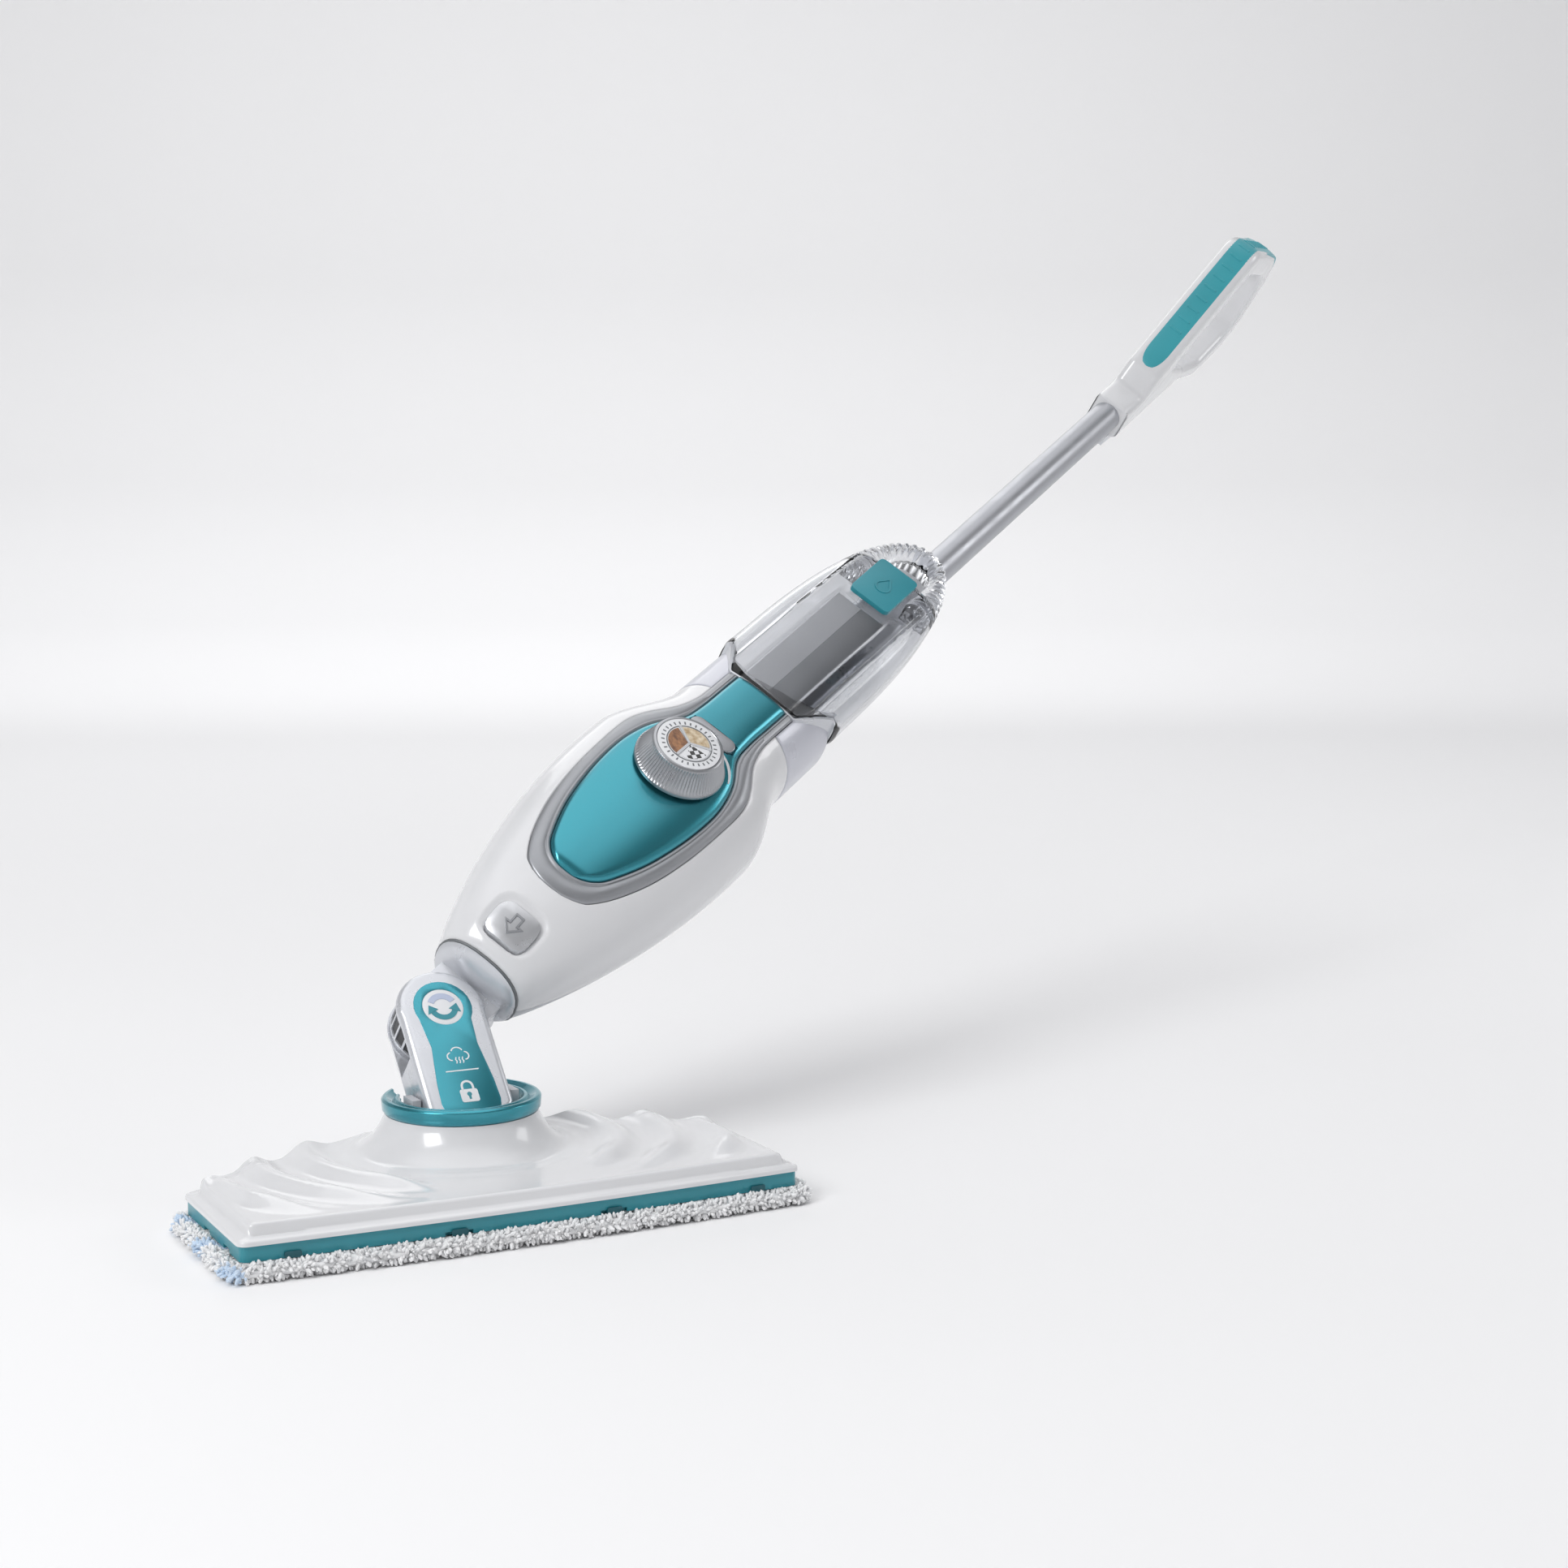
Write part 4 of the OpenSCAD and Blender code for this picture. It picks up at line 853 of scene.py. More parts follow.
def fork_marks():
    """The label's plain signs: a swivel ring, a cloud of steam, a line and a lock."""
    z0 = FORK_LEN
    low, high = LABEL_H - 0.3, LABEL_H + 0.12
    sweep = [plate(sector(0, z0, 5.0, 8.0, 205, 335, 30), low, high + 0.05, at_fork)]
    for side in (-1, 1):
        heel = [(side * (r * cos(radians(24))), z0 - r * sin(radians(24))) for r in (9.8, 3.2)]
        sweep.append(plate(heel + [(side * 7.6, z0 + 1.6)], low, high + 0.05, at_fork))
    mark("fork_swivel_sign", together(sweep), "fork", teal_satin, "teal_plastic")
    mark("fork_ring_sign", plate(sector(0, z0, 5.0, 8.4, 28, 152, 24), low, high + 0.05, at_fork), "fork",
         print_lilac, "pearl_plastic")
    c = 22.5
    marks = [line_plate(puff, 0.7, low, high, at_fork) for puff in (
        arc(-3.4, c - 1.2, 2.4, 100, 268, 10), arc(3.4, c - 1.2, 2.4, -88, 80, 10),
        arc(0, c + 0.9, 3.2, 22, 158, 12))]
    for x in (-1.8, 0, 1.8):
        wisp = [(x, c - 5.6), (x + 0.5, c - 4.4), (x, c - 3.2), (x + 0.5, c - 1.8)]
        marks.append(line_plate(wisp, 0.6, low, high, at_fork))
    marks.append(plate(rounded_box(18, 0.7, 0, 12.6, 0.3, 3), low, high, at_fork))
    lock = -2.6
    marks.append(plate(rounded_box(9.6, 7.6, 0, lock, 1.2, 4), low, high, at_fork))
    shackle = [(-2.9, lock + 3.6)] + arc(0, lock + 5.6, 2.9, 180, 0, 12) + [(2.9, lock + 3.6)]
    marks.append(line_plate(shackle, 1.2, low, high, at_fork))
    keyhole = arc(0, lock + 0.8, 1.3, -60, 240, 14) + [(-0.6, lock - 2.2), (0.6, lock - 2.2)]
    mark("fork_keyhole_sign", plate(keyhole, high - 0.05, high + 0.06, at_fork), "fork", teal_satin,
         "teal_plastic")
    mark("fork_signs", together(marks), "fork", print_white, "white_plastic")


fork_marks()

# ---- Neck ----
refined("neck", 0.5, crisp=40)
refined("neck_gasket", 0.15, finish=gasket_finish, crisp=40)
refined("neck_tube", 0.2)


def disc_band(r0, r1, a0, a1, low, high, n):
    """A band on the neck's round underside."""
    return plate(sector(0, 0, r0, r1, a0, a1, n), low, high, Vector)


ribs = [disc_band(21.7, 22.9, a, a + 3.4, -6.4, 6.4, 4) for a in range(188, 352, 18)]
ribs += [disc_band(21.7, 22.9, 185, 355, h, h + 1.4, 60) for h in (-7.8, 6.4)]
# A dark band under the ribs: painted shade for the cavities between them.
piece("neck_disc_cavity", disc_band(21.6, 22.12, 185, 355, -6.2, 6.2, 60), BODY, "neck", dark,
      "dark_plastic",
      crisp=30)
piece("neck_disc_ribs", together(ribs), BODY, "neck", pearl, "pearl_plastic", crisp=30)

# ---- Body shells ----
BEZEL_HALF = [(0, 46), (6, 46.3), (11, 47.6), (16.5, 50), (22, 54.6), (30, 69), (37.5, 92), (42, 120),
              (43.6, 150),
              (43.2, 174), (38, 189), (29, 204), (24.8, 219), (24, 232), (24, 256)]
FASCIA_HALF = [(0, 59.5), (5, 59.8), (10, 61.4), (15.5, 65.4), (21, 73.5), (29, 96), (33.8, 122),
               (35.6, 146),
               (34.6, 163), (30, 180), (20.9, 197), (18.7, 214), (18.6, 236), (18.6, 256)]
BEZEL_LINE = [p + Vector((0, SHELL_FOOT)) for p in curved(BEZEL_HALF, 9)]
FASCIA_LINE = [p + Vector((0, SHELL_FOOT)) for p in curved(FASCIA_HALF, 9)]


def width_of(line, z):
    """Half width of a panel's outline at a height, or None below its foot."""
    if z < line[0].y:
        return None
    for a, b in zip(line, line[1:]):
        if a.y <= z <= b.y + 1e-9:
            return a.x + (b.x - a.x) * ((z - a.y) / (b.y - a.y) if b.y > a.y else 0)
    return line[-1].x


def edge_steps(n, tight=0.012):
    """Steps from 0 to 1 that crowd at both ends, for a rolled edge."""
    return [0, tight * 0.35, tight] + spread(tight, 1 - tight, n)[1:-1] + [1 - tight, 1 - tight * 0.35, 1]


def rolled(j, n, depth=0.7):
    """How far the outermost steps of a sheet turn in."""
    near = min(j, n - 1 - j)
    return -depth if near == 0 else -depth * 0.28 if near == 1 else 0


def dish(x, z):
    """The hollow round the neck's release button, and the gap that the button stands in."""
    d = ((abs(x) / 18.2) ** 3.2 + (abs(z - BUTTON_Z - 1.5) / 14.2) ** 3.2) ** (1 / 3.2)
    g = ((abs(x) / 13.9) ** 4 + (abs(z - BUTTON_Z) / 9.9) ** 4) ** 0.25
    return -1.5 * (1 - smooth((d - 0.82) / 0.2)) - 2.2 * (1 - smooth((g - 1.0) / 0.06))


def front_half(side):
    """The front shell from the bezel's opening round to the split line, on one side."""
    foot = BEZEL_LINE[0].y - 0.15
    heights = ([SHELL_FOOT, SHELL_FOOT + 0.25, SHELL_FOOT + 0.8] + spread(SHELL_FOOT + 1.6, 70, 72)
               + spread(70, foot, 8)[1:] + [foot + 0.05] + spread(foot + 0.6, SHELL_TOP - 1, 96)
               + [SHELL_TOP - 0.3, SHELL_TOP])
    parts = [0, 0.004, 0.012] + spread(0.012, 0.5, 44)[1:] + spread(0.5, 0.985, 20)[1:] + [0.995, 1]
    rows = []
    for i, z in enumerate(heights):
        inner = width_of(BEZEL_LINE, z) if z > foot else 0
        a = turn_at(z, inner + 0.15) if inner else 0
        b = side_turn(z)
        row = []
        for j, t in enumerate(parts):
            lift = rolled(i, len(heights)) + (rolled(j, len(parts)) if inner or j > 4 else 0)
            p = on_body(z, a + (b - a) * t)
            if z < 72:
                lift += dish(p.x, z)
            p = on_body(z, a + (b - a) * t, lift)
            row.append(Vector((p.x * side, p.y, p.z)))
        rows.append(row)
    return grid(rows)[0]


front = together([front_half(1), front_half(-1)])
bmesh.ops.remove_doubles(front, verts=front.verts, dist=0.004)
piece("front_shell_skin", facing_out(front, Vector((0, -20, 150))), BODY, "body", white, "white_plastic",
      ("front_shell",), wall=SHELL_WALL, crisp=55)


def rear_skin():
    heights = [SHELL_FOOT + (SHELL_TOP - SHELL_FOOT) * t for t in edge_steps(72, 0.004)]
    parts = edge_steps(60, 0.006)
    rows = []
    for i, z in enumerate(heights):
        a = side_turn(z)
        rows.append([on_body(z, a + (2 * pi - 2 * a) * t, rolled(i, len(heights)) + rolled(j, len(parts)))
                     for j, t in enumerate(parts)])
    return skin(rows, 150)


piece("rear_shell_skin", rear_skin(), BODY, "body", rear_grey, "grey_plastic", ("rear_shell",),
      wall=SHELL_WALL, crisp=55)


def bezel():
    """A ribbon between the panel's outline and the shell's opening, with a groove along its middle."""
    n = 150
    outer, inner = resampled(BEZEL_LINE, n), resampled(FASCIA_LINE, n)
    across = [0, 0.03, 0.08, 0.15, 0.19, 0.23, 0.27, 0.6, 0.91, 0.97, 1]
    lifts = [-0.9, 0.0, 0.45, 0.5, -0.1, -0.1, 0.45, 0.5, 0.35, -0.1, -0.9]
    rows = []
    for side in (-1, 1):
        for i in range(n) if side > 0 else range(n - 1, 0, -1):
            spots = [inner[i].lerp(outer[i], t) for t in across]
            rows.append([on_front(p.x * side, min(p.y, PANEL_TOP), lift) for p,
                         lift in zip(spots, lifts)])
    return skin(rows)


piece("bezel_ribbon", bezel(), BODY, "body", bezel_grey, "silver_trim", ("bezel",), wall=2.4, crisp=60)


def steam_pocket(x, z):
    """Depth of the pocket that the steam button sinks into."""
    reach = hypot(max(0, abs(x) - 10), z - STEAM_Z) - 5.5
    return 3.4 * (1 - smooth((reach - 0.3) / 0.4))


def fascia():
    """The domed coloured panel."""
    foot = FASCIA_LINE[0].y
    heights = ([foot + 0.02, foot + 0.25, foot + 0.9, foot + 2] + spread(foot + 4, STEAM_Z - 8, 70)
               + spread(STEAM_Z - 7.5, STEAM_Z + 7.5, 50) + spread(STEAM_Z + 8, PANEL_TOP - 1, 30)
               + [PANEL_TOP - 0.2, PANEL_TOP])
    rim = [0.8, 0.87, 0.93, 0.97, 0.992, 1]
    parts = [-t for t in rim[::-1]] + spread(-0.7, 0.7, 41) + rim
    rows = []
    for i, z in enumerate(heights):
        w = max(1, width_of(FASCIA_LINE, z) - 0.15)
        rows.append([])
        for t in parts:
            side = (1 - abs(t)) * w
            end = min(z - foot, (PANEL_TOP - z) * 2.2)
            near = min(side, end)
            lift = -1.2 + 3.0 * rise(near / 5.5, 0.7) - steam_pocket(w * t, z)
            rows[-1].append(on_front(w * t, z, lift))
    return skin(rows)


piece("fascia_panel", fascia(), BODY, "body", teal_metal, "teal_metallic", ("fascia",), wall=1.2,
      crisp=60)


def seam_height(x):
    """Height of the seam between shoulders and tank, which rises to both sides."""
    x = abs(x)
    if x < 24:
        return TANK_FOOT
    if x < 39:
        return TANK_FOOT + 27 * (x - 24) / 15
    return TANK_FOOT + 27 + 2 * (x - 39) / 21


def shoulder(side):
    """The light block beside the panel that the tank sits down on."""
    a, b = turn_at(SHELL_TOP, 24.3), turn_behind(SHELL_TOP, 24.3)
    parts, heights = edge_steps(48, 0.008), edge_steps(24, 0.02)
    rows = []
    for i, up in enumerate(heights):
        row = []
        for j, t in enumerate(parts):
            turn = a + (b - a) * t
            x = on_body(300, turn).x
            low, high = SHELL_TOP + 0.4, seam_height(x) - 0.4
            z = low + (high - low) * up
            p = on_body(z, turn, rolled(i, len(heights)) + rolled(j, len(parts), 0.5))
            row.append(Vector((p.x * side, p.y, p.z)))
        rows.append(row)
    return skin(rows, 290)


for side, label in ((-1, "left"), (1, "right")):
    piece("shoulder_%s_block" % label, shoulder(side), BODY, "body", shoulder_finish, "pearl_plastic",
          ("shoulder_" + label,), wall=SHELL_WALL, crisp=60)

# ---- Controls ----
DIAL = (SWING @ Matrix.Translation((0, -body_front(DIAL_Z) - 1.2, DIAL_Z))
        @ Matrix.Rotation(radians(87), 4, "X"))


def at_dial(p):
    """Outlines in x and z become the dial's face; depth is height above its foot."""
    return DIAL @ Vector((p[0], p[2], -p[1]))


def dial_knob():
    """A coned knob with fine grip ridges, a foot flange and a rolled top edge."""
    section = [(19.0, 12.5, 0), (19.0, 16.4, 0), (19.4, 16.9, 0), (20.2, 16.8, 0), (20.9, 16.2, 0),
               (21.2, 15.4, 0.25),
               (21.5, 14.8, 1), (22.6, 12.0, 1), (24.2, 8.0, 1), (25.6, 4.4, 1), (26.3, 2.8, 0.25),
               (26.9, 2.2, 0),
               (27.0, 1.6, 0), (27.0, 0.5, 0), (24.0, 0.5, 0), (19.0, 12.0, 0)]
    ridges, count = 80, 640
    rows = []
    for r, h, grip in section:
        rows.append([])
        for i in range(count):
            a = 2 * pi * i / count
            out = r - 0.75 * grip * (0.5 - 0.5 * cos(ridges * a)) ** 0.7
            rows[-1].append(DIAL @ Vector((out * cos(a), out * sin(a), h)))
    rows.append(rows[0])
    return solid(grid(rows, wrap=True)[0])


piece("dial_knob", dial_knob(), ROW, "dial", silver, "silver_trim", ("dial_ring",), crisp=35)
refined("dial_spindle", 0.3)
FACE = 17.8  # height of the dial's face over its foot


def clipped(shape, field):
    """The part of a convex outline that lies inside an anticlockwise convex field."""
    for a, b in zip(field, field[1:] + field[:1]):
        a, b = Vector(a), Vector(b)
        side = [(b - a).x * (p - a).y - (b - a).y * (p - a).x for p in shape]
        kept = []
        for i, p in enumerate(shape):
            j = i - 1
            if side[i] * side[j] < 0:
                kept.append(shape[j].lerp(p, side[j] / (side[j] - side[i])))
            if side[i] >= 0:
                kept.append(p)
        shape = kept
        if len(shape) < 3:
            return []
    return shape


def dial_face():
    """The printed face: a scale, and three sectors that stand for kinds of floor."""
    mark("dial_face_plate", plate(arc(0, 0, 18.8, 0, 357, 96), 14.2, FACE - 0.8, at_dial), "dial",
         print_white, "dial_face", stands_for=("dial_cap",), bevel=0.3)
    ticks = [plate(sector(0, 0, 14.6, 16.6, a, a + 3.2, 3), FACE - 1.2, FACE - 0.7, at_dial)
             for a in range(0, 360, 12)]
    ticks.append(plate(sector(0, 0, 13.0, 13.6, 0, 359.5, 90), FACE - 1.2, FACE - 0.6, at_dial))
    mark("dial_scale_marks", together(ticks), "dial", print_grey, "dark_plastic")
    for name, a0, finish in (("wood", 152, wood), ("stone", 32, marble), ("tile", 272, print_white)):
        middle = radians(a0 + 60)
        field = sector(0.9 * cos(middle), 0.9 * sin(middle), 0.4, 11.6, a0 + 2, a0 + 118, 30)
        mark("dial_%s_sector" % name, plate(field, FACE - 1.4, FACE - 0.45, at_dial), "dial", finish,
             "dial_face")
    spokes = [line_plate([(0, 0)] + arc(0, 0, 13, a, a, 1), 1.5, FACE - 1.4, FACE - 0.1, at_dial)
              for a in (30, 150, 270)]
    mark("dial_spokes", together(spokes), "dial", silver_light, "silver_trim")
    field = sector(0, 0, 0.5, 11.6, 274, 386, 24)
    side, cos_tilt, sin_tilt = 2.8, 0.866, 0.5
    tiles = []
    for i in range(-5, 5):
        for j in range(-5, 5):
            tile = [Vector((side * (i + u), side * (j + v))) for u, v in ((0, 0), (1, 0), (1, 1), (0, 1))]
            shape = clipped([Vector((cos_tilt * c.x + sin_tilt * c.y, -sin_tilt * c.x + cos_tilt * c.y))
                             for c in tile], field)
            if (i + j) % 2 and len(shape) > 2:
                tiles.append(plate([tuple(q) for q in shape], FACE - 0.6, FACE - 0.38, at_dial))
    mark("dial_black_tiles", together(tiles), "dial", tile_black, "dark_plastic")


dial_face()
refined("steam_button", 0.7, finish=silver)
refined("button_spring")
release = refined("release_button", 0.6, finish=silver_light, crisp=45)
refined("release_spring")


def at_body(p):
    return SWING @ Vector(p)


def touching(obj, x, z, lift):
    """The point above a piece's own front face, in the body's millimetres."""
    aim = (BODY.to_3x3() @ Vector((0, 1, 0))).normalized()
    hit, where, _, _ = obj.ray_cast(BODY @ Vector((x, -120, z)), aim)
    return BODY.inverted() @ where - Vector((0, lift, 0)) if hit else on_front(x, z, lift)


def draped(outline_rows, lift):
    """A thin raised print that follows the panel: rows of (x, z) pairs."""
    return skin([[on_front(x, z, lift) for x, z in row] for row in outline_rows])


def crescent():
    """The light swoosh beside the dial that shows more or less steam."""
    rows = []
    for t in spread(0, 1, 30):
        a = radians(78 - 52 * t)
        width = 0.5 + 1.9 * sin(pi * (0.1 + 0.85 * t)) * (0.35 + 0.65 * t)
        rows.append([((29.2 + w) * sin(pi / 2 - a), DIAL_Z + (29.2 + w) * cos(pi / 2 - a))
                     for w in (0, width / 2, width)])
    return draped(rows, 1.95)


piece("steam_amount_mark", crescent(), BODY, "body", print_white, "white_plastic", wall=0.4, crisp=60)

arrow = [(-2.6, 5.2), (2.6, 5.2), (2.6, -0.4), (6.0, -0.4), (0, -6.2), (-6.0, -0.4), (-2.6, -0.4)]
arrow = [(0.9 * x, BUTTON_Z + 0.3 + 0.9 * z) for x, z in arrow]
left, right = stroke(arrow, 1.0, closed=True)
rows = [[touching(release, q.x, q.y, lift) for q in side]
        for side, lift in ((left, -0.4), (left, 0.7), (right, 0.7), (right, -0.4), (left, -0.4))]
# The arrow is raised from the button; its darker grey finish is painted shade standing for the shading
# along its edges.
piece("release_arrow", solid(grid(rows, wrap=True)[0]), BODY, "neck_catch", bezel_grey, "silver_trim",
      crisp=30)
steam_h = body_front(STEAM_Z) + 2.4
puff = [line_plate([(x, STEAM_Z - 2), (0.8 + x, STEAM_Z - 0.6), (x, STEAM_Z + 0.6),
                    (0.8 + x, STEAM_Z + 2)],
                   0.6, steam_h - 0.2, steam_h + 0.25, at_body) for x in (-2.6, -0.4, 1.8)]
mark("steam_button_mark", together(puff), "steam_switch", silver, "silver_trim")

# ---- Tank ----
def tank_t(z):
    return max(0, (z - TANK_FOOT - 53) / 168)


def tank_width(z):
    return 44 * max(0, 1 - tank_t(z) ** 2.4) ** 0.45


def tank_front(z):
    return 60 - 2.5 * (z - TANK_FOOT) / 130 - 9 * tank_t(z) ** 3


def on_tank(z, turn, lift=0.0):
    """turn 0 is the front's middle; the back is flat against the spine."""
    s, c = sin(turn), cos(turn)
    x = copysign(abs(s) ** TANK_ROUND, s) * (tank_width(z) + lift)
    if c > 0:
        return Vector((x, -TANK_MIDDLE - (tank_front(z) + lift - TANK_MIDDLE) * c ** TANK_ROUND, z))
    return Vector((x, -TANK_MIDDLE + (TANK_MIDDLE - TANK_BACK + lift) * (-c) ** TANK_ROUND, z))


def tank_wall(lift, low, high, n=240):
    """Rings of the tank from its vee foot to its shoulder."""
    turns = [2 * pi * i / n for i in range(n)]
    rows = []
    for t in spread(0, 1, 46):
        row = []
        for a in turns:
            x = on_tank(330, a).x
            foot = seam_height(x) + 0.4 + low
            z = foot + (TANK_NECK - high - foot) * t
            p = on_tank(z, a, lift)
            if lift == 0:
                edge = max(0, 1 - (z - foot) / 1.6)
                p = on_tank(z, a, -1.0 * edge ** 2)
                flat = (1 - smooth((abs(p.x) - 18.4) / 0.8)) * (p.y < -TANK_MIDDLE)
                flat *= smooth((z - TANK_FOOT - 2) / 2) * (1 - smooth((z - LATCH_Z + 6) / 3))
                p.y += 1.1 * flat
                groove = exp(-((abs(p.x) - 29.5) / 0.8) ** 2) * (p.y < -TANK_MIDDLE)
                p.y += 1.2 * groove
            row.append(p)
        rows.append(row)
    return rows


def tank():
    """A hollow shell: an outer form and an inner one turned inside out."""
    outer = tank_wall(0, 0, 0)
    shrink = 0.93
    top = [Vector((p.x * shrink, -TANK_MIDDLE + (p.y + TANK_MIDDLE) * shrink, TANK_NECK + 1.6))
           for p in outer[-1]]
    shell = loft(outer + [top])
    hollow = loft(tank_wall(-SHELL_WALL, SHELL_WALL, SHELL_WALL))
    bmesh.ops.reverse_faces(hollow, faces=hollow.faces)
    return together([shell, hollow])


def arch_line(n=90):
    """Middle line of the arch, with the outline outside and the finger hole inside it."""
    outer = [Vector((tank_width(z), z)) for z in
             [448 + (TANK_TOP - 448) * (1 - (1 - t) ** 2.6) for t in spread(0, 1, 60)]]
    hole = [Vector((14.6, z)) for z in spread(448, 478, 12)] + [
        Vector((2.6 + 12 * cos(a), 480.2 + 12 * sin(a))) for a in spread(0, pi / 2, 16)] + [
        Vector((0, 492.2))]
    outer, hole = resampled(outer, n), resampled(hole, n)
    outer = [Vector((-p.x, p.y)) for p in outer] + outer[-2::-1]
    hole = [Vector((-p.x, p.y)) for p in hole] + hole[-2::-1]
    return outer, hole


def arch():
    """The ribbed arch over the finger hole."""
    outer, hole = arch_line()
    rows = []
    for i, (o, h) in enumerate(zip(outer, hole)):
        rib = smooth(0.5 + 0.9 * cos(2 * pi * i / 7.4))
        top, back = 48.5 - 3.5 * smooth((o.y - 450) / 60), 30.5
        section = [(0, back), (0, top - 5), (0.12, top - 2), (0.35, top - 0.4 + 0.8 * rib),
                   (0.62, top - 0.3 + 1.0 * rib),
                   (0.88, top - 2.4 + 0.9 * rib), (1, top - 6), (1, back + 3), (0.9, back)]
        rows.append([])
        for t, depth in section:
            p = h.lerp(o, t)
            if t > 0.3:
                p = p + (o - h).normalized() * (0.6 * rib - 0.6)
            rows[-1].append(Vector((p.x, -depth, p.y)))
    return loft(rows)


piece("tank_shell_clear", tank(), BODY, "tank", clear, "clear_tank", ("tank_shell",), crisp=50)
piece("tank_arch", arch(), BODY, "tank", clear, "clear_tank", crisp=40)


def cradle():
    """The light floor under the tank's vee foot, with a round hole for its cap."""
    rows = []
    for x in spread(-41.5, 41.5, 84):
        deep = 36 + 23 * sqrt(max(0, 1 - (abs(x) / 44) ** 3)) ** (2 / 3)
        near = 38 + sqrt(17.8 ** 2 - x * x) if abs(x) < 17.8 else 20
        rows.append([Vector((x, -h, seam_height(x) - 0.3)) for h in spread(min(near, deep - 0.4), deep,
                                                                           12)])
    return skin(rows, 0, -40)


piece("tank_cradle", cradle(), BODY, "body", pearl, "pearl_plastic", wall=1.2, crisp=50)
# Two plates behind the tank's window, a light half and a grey half: painted light and painted shade for
# how the two halves look through the clear wall.
for label, x0, x1, shade in (("light", -17.6, 0, print_white), ("grey", 0, 17.6, tank_shade_grey)):
    board_outline = [(x0, TANK_FOOT + 4), (x1, TANK_FOOT + 4), (x1, LATCH_Z - 6), (x0, LATCH_Z - 6)]
    piece("tank_baffle_" + label, plate(board_outline, 53.4, 54.4, Vector), BODY, "tank", shade,
          "grey_plastic", bevel=0.2, crisp=30)
refined("tank_cap", 0.5)
refined("tank_latch", 1.2)
refined("latch_pin")
latch_h = tank_front(LATCH_Z + 20) - 1 + 5.2


def drop(cx, cz, r):
    return arc(cx, cz, r, 150, 390, 20) + [(cx, cz + 2.1 * r)]


mark("latch_drop_mark", line_plate(drop(0, LATCH_Z + 17.5, 4.8), 1.2, latch_h - 0.5, latch_h + 0.5,
                                   at_body,
                                   closed=True), "latch", teal_satin, "teal_plastic")

# ---- Spine, pole and handle ----
refined("spine", 0.8, finish=pearl)
refined("pole", 0.0, crisp=40)
refined("pole_rail", 0.3, finish=silver)
refined("tank_seat", 0.4)
refined("cord_gland", 0.5)
refined("shell_screws", 0.2)
refined("handle_rear_cover", 0.8, finish=pearl)
refined("handle_screws", 0.2)

HANDLE_PTS = [(0, 17), (27, 17), (37.5, 33.9), (150, 105), (250, 58), (240, -24), (172, -34), (116, -11),
              (0, -11)]
HANDLE_R = [2, 8, 7, 24, 40, 42, 34, 30, 2]
LOOP_PTS = [(72, 25), (156, 80), (228, 46), (222, -6), (172, -18), (126, -2)]
LOOP_R = [6, 13, 22, 22, 16, 24]


def anticlockwise(points):
    area = sum(a.x * b.y - b.x * a.y for a, b in zip(points, points[1:] + points[:1]))
    return points if area > 0 else points[::-1]


def handle_outline(points, radii, n=10):
    """Rounded outline in depth and height, from corners given as height and depth."""
    return anticlockwise(rounded_path([(depth, up) for up, depth in points], radii, n))


def loop_handle():
    """The looped handle: softly rounded outside and inside the hand opening."""
    outer, inner = handle_outline(HANDLE_PTS, HANDLE_R), handle_outline(LOOP_PTS, LOOP_R)
    form = bmesh.new()
    soft = 5.5
    steps_round = [(14 - soft + soft * sin(a), soft * (1 - cos(a))) for a in spread(0, pi / 2, 7)]
    section = [(-x, d) for x, d in steps_round[::-1]] + steps_round
    for outline, sign in ((outer, -1), (inner, 1)):
        rings = []
        for x, d in section:
            moved = grown(outline, sign * d * (1 if sign < 0 else 0.7))
            rings.append([form.verts.new((x, -p.x, p.y + HANDLE_FOOT)) for p in moved])
        n = len(outline)
        for low, high in zip(rings, rings[1:]):
            for i in range(n):
                j = (i + 1) % n
                form.faces.new((low[i], low[j], high[j], high[i]))
        if sign < 0:
            caps = [rings[0], rings[-1]]
        else:
            caps = [caps[0] + rings[0], caps[1] + rings[-1]]
            count = len(outer)
            for cap in caps:
                flat = [[Vector((v.co.y, v.co.z, 0)) for v in cap[:count]],
                        [Vector((v.co.y, v.co.z, 0)) for v in cap[count:]]]
                for tri in tessellate_polygon(flat):
                    try:
                        form.faces.new([cap[k] for k in tri])
                    except ValueError:
                        pass
    return solid(form)


piece("handle_loop", loop_handle(), BODY, "body", white, "white_plastic", ("handle_shell",), crisp=50)


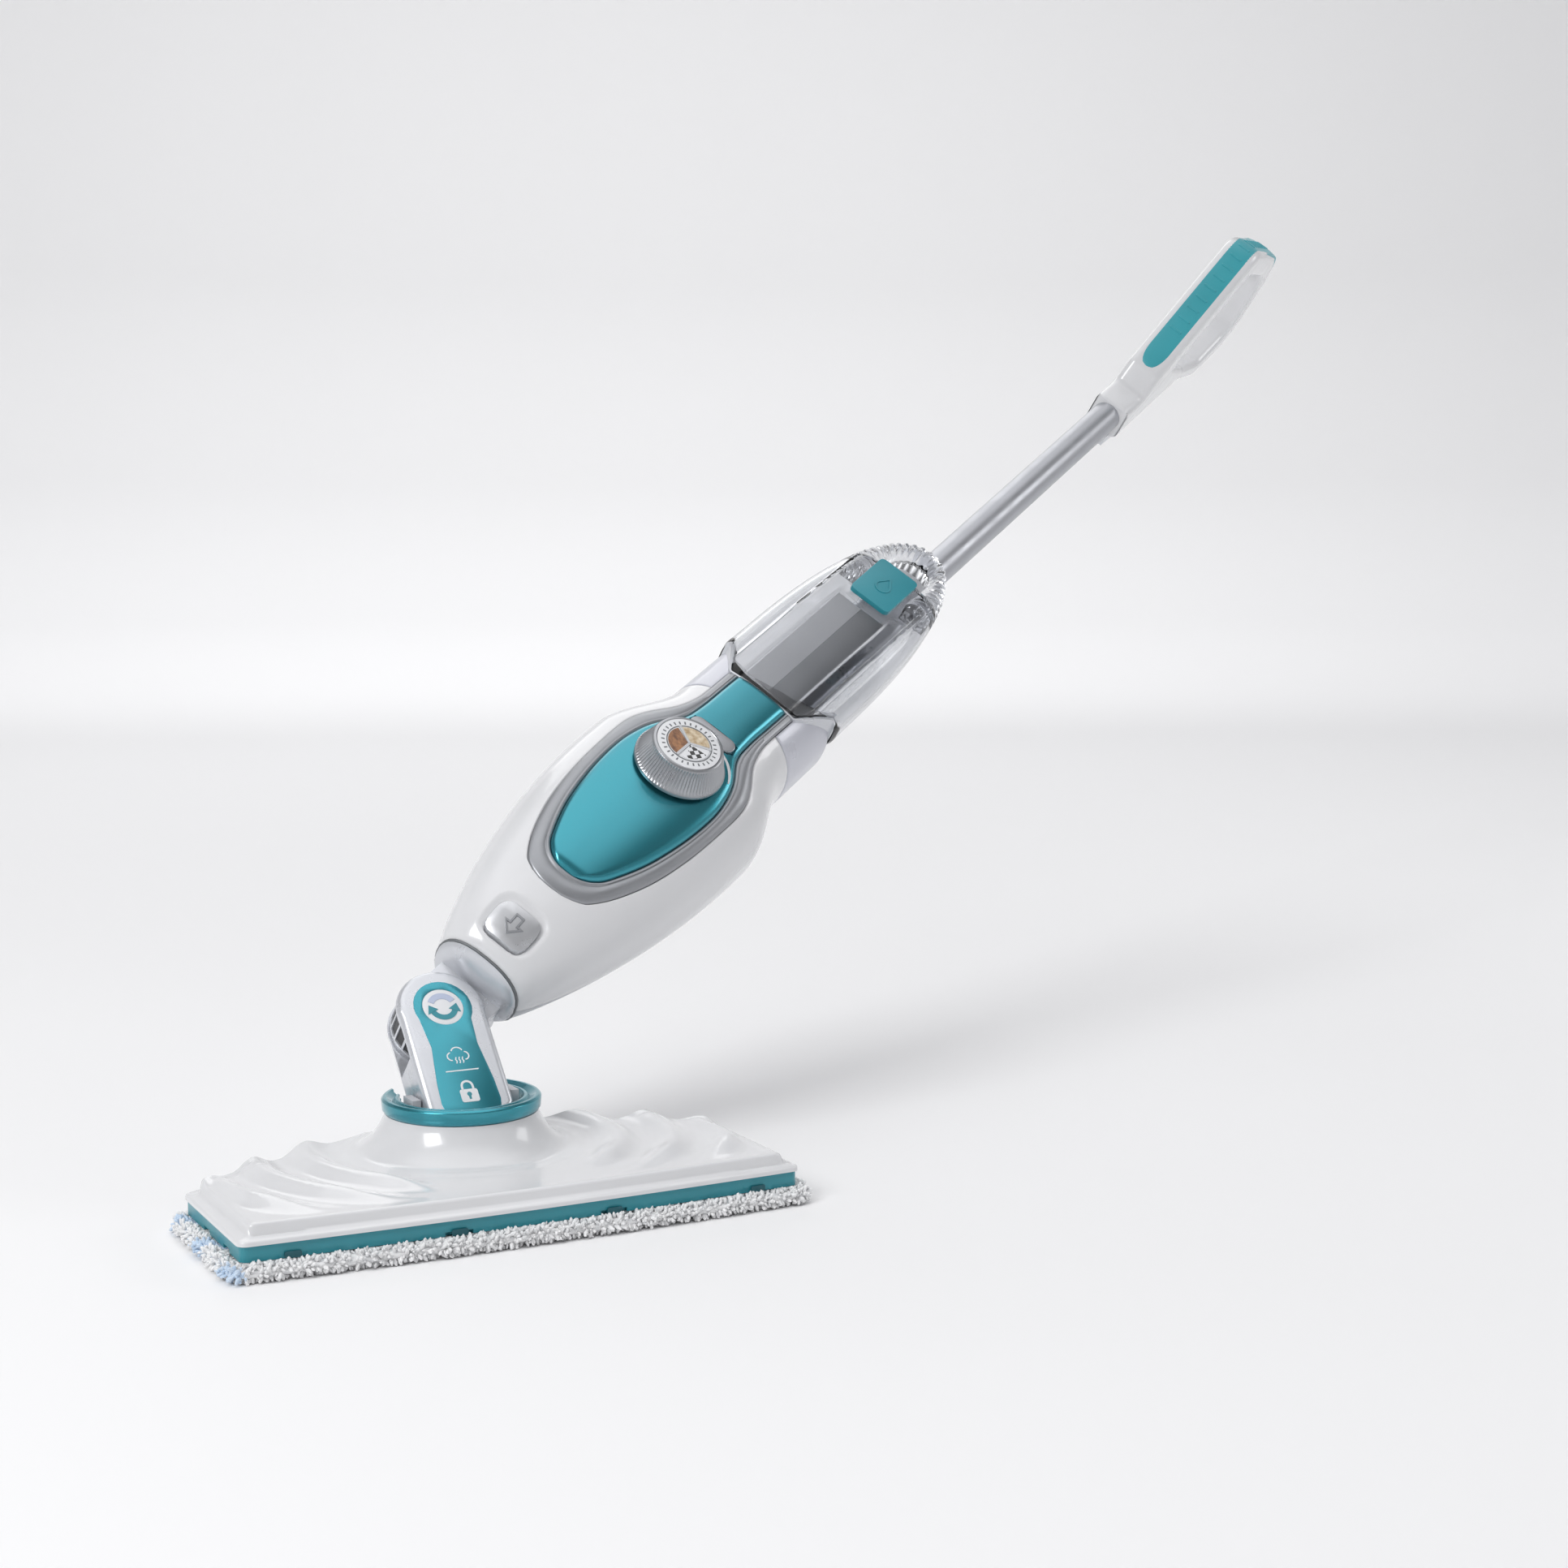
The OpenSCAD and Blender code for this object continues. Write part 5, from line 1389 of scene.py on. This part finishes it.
def grip_path(n=120):
    """The handle's front bar from its foot, over the top."""
    outer = handle_outline(HANDLE_PTS, HANDLE_R, 14)
    keep = [p for p in resampled(outer + outer[:1], 900) if 37 < p.y and (p.x > 34 or p.y > 212)]
    keep.sort(key=lambda p: atan2(p.y - 130, p.x - 10))
    return resampled(keep, n)


def grip():
    """The soft insert: domed across, rounded off at both ends."""
    path, length = grip_path(), 190
    n = len(path)
    rows = []
    for i, p in enumerate(path):
        a, b = path[max(0, i - 1)], path[min(n - 1, i + 1)]
        out = Vector(((b - a).y, -(b - a).x)).normalized()
        from_end = min(i, n - 1 - i) / (n - 1) * length
        round_off = sqrt(max(0.0, 1 - max(0, 1 - from_end / 10) ** 2))
        half = (11.2 + 1.9 * smooth((p.y - 185) / 40)) * round_off + 0.05
        rows.append([])
        for t in spread(-1, 1, 17):
            rise_of = 1.5 * (1 - abs(t) ** 2.6) * min(1, from_end / 2 + 0.1) - 0.75
            q = p + out * rise_of
            rows[-1].append(Vector((half * t, -q.x, q.y + HANDLE_FOOT)))
    return skin(rows, HANDLE_FOOT + 150, -30)


piece("grip_insert_soft", grip(), BODY, "body", grip_teal, "soft_grip", ("grip_insert",), wall=1.6,
      crisp=50)


def grip_ribs():
    """Where the ribs stand on the insert: across it, upright on its face."""
    path, turned = grip_path(), BODY.to_3x3()
    places = []
    for i in range(14, 78, 4):
        p = path[i]
        d = path[i + 1] - path[i - 1]
        along = (turned @ Vector((0, -d.x, d.y))).normalized()
        across = (turned @ Vector((1, 0, 0))).normalized()
        out = across.cross(along).normalized()
        if out.dot(turned @ Vector((0, -d.y, -d.x))) < 0:
            out = -out
        spot = BODY @ Vector((0, -p.x, p.y + HANDLE_FOOT)) + out * 0.0006
        along = out.cross(across)
        m = Matrix((across, along, out)).transposed().to_4x4()
        m.translation = spot
        places.append(m @ ROW)
    return places


repeated("grip_ribs", bar(2.2, 11, 0.8), grip_ribs(), "body", grip_teal, "soft_grip")

# ---- Whatever is left keeps its CAD shape and takes its slot's finish ----
for name, obj in nodes.items():
    finish = FINISH_OF_SLOT[slot_of_node[name]].mat
    for held in obj.material_slots:
        held.material = finish
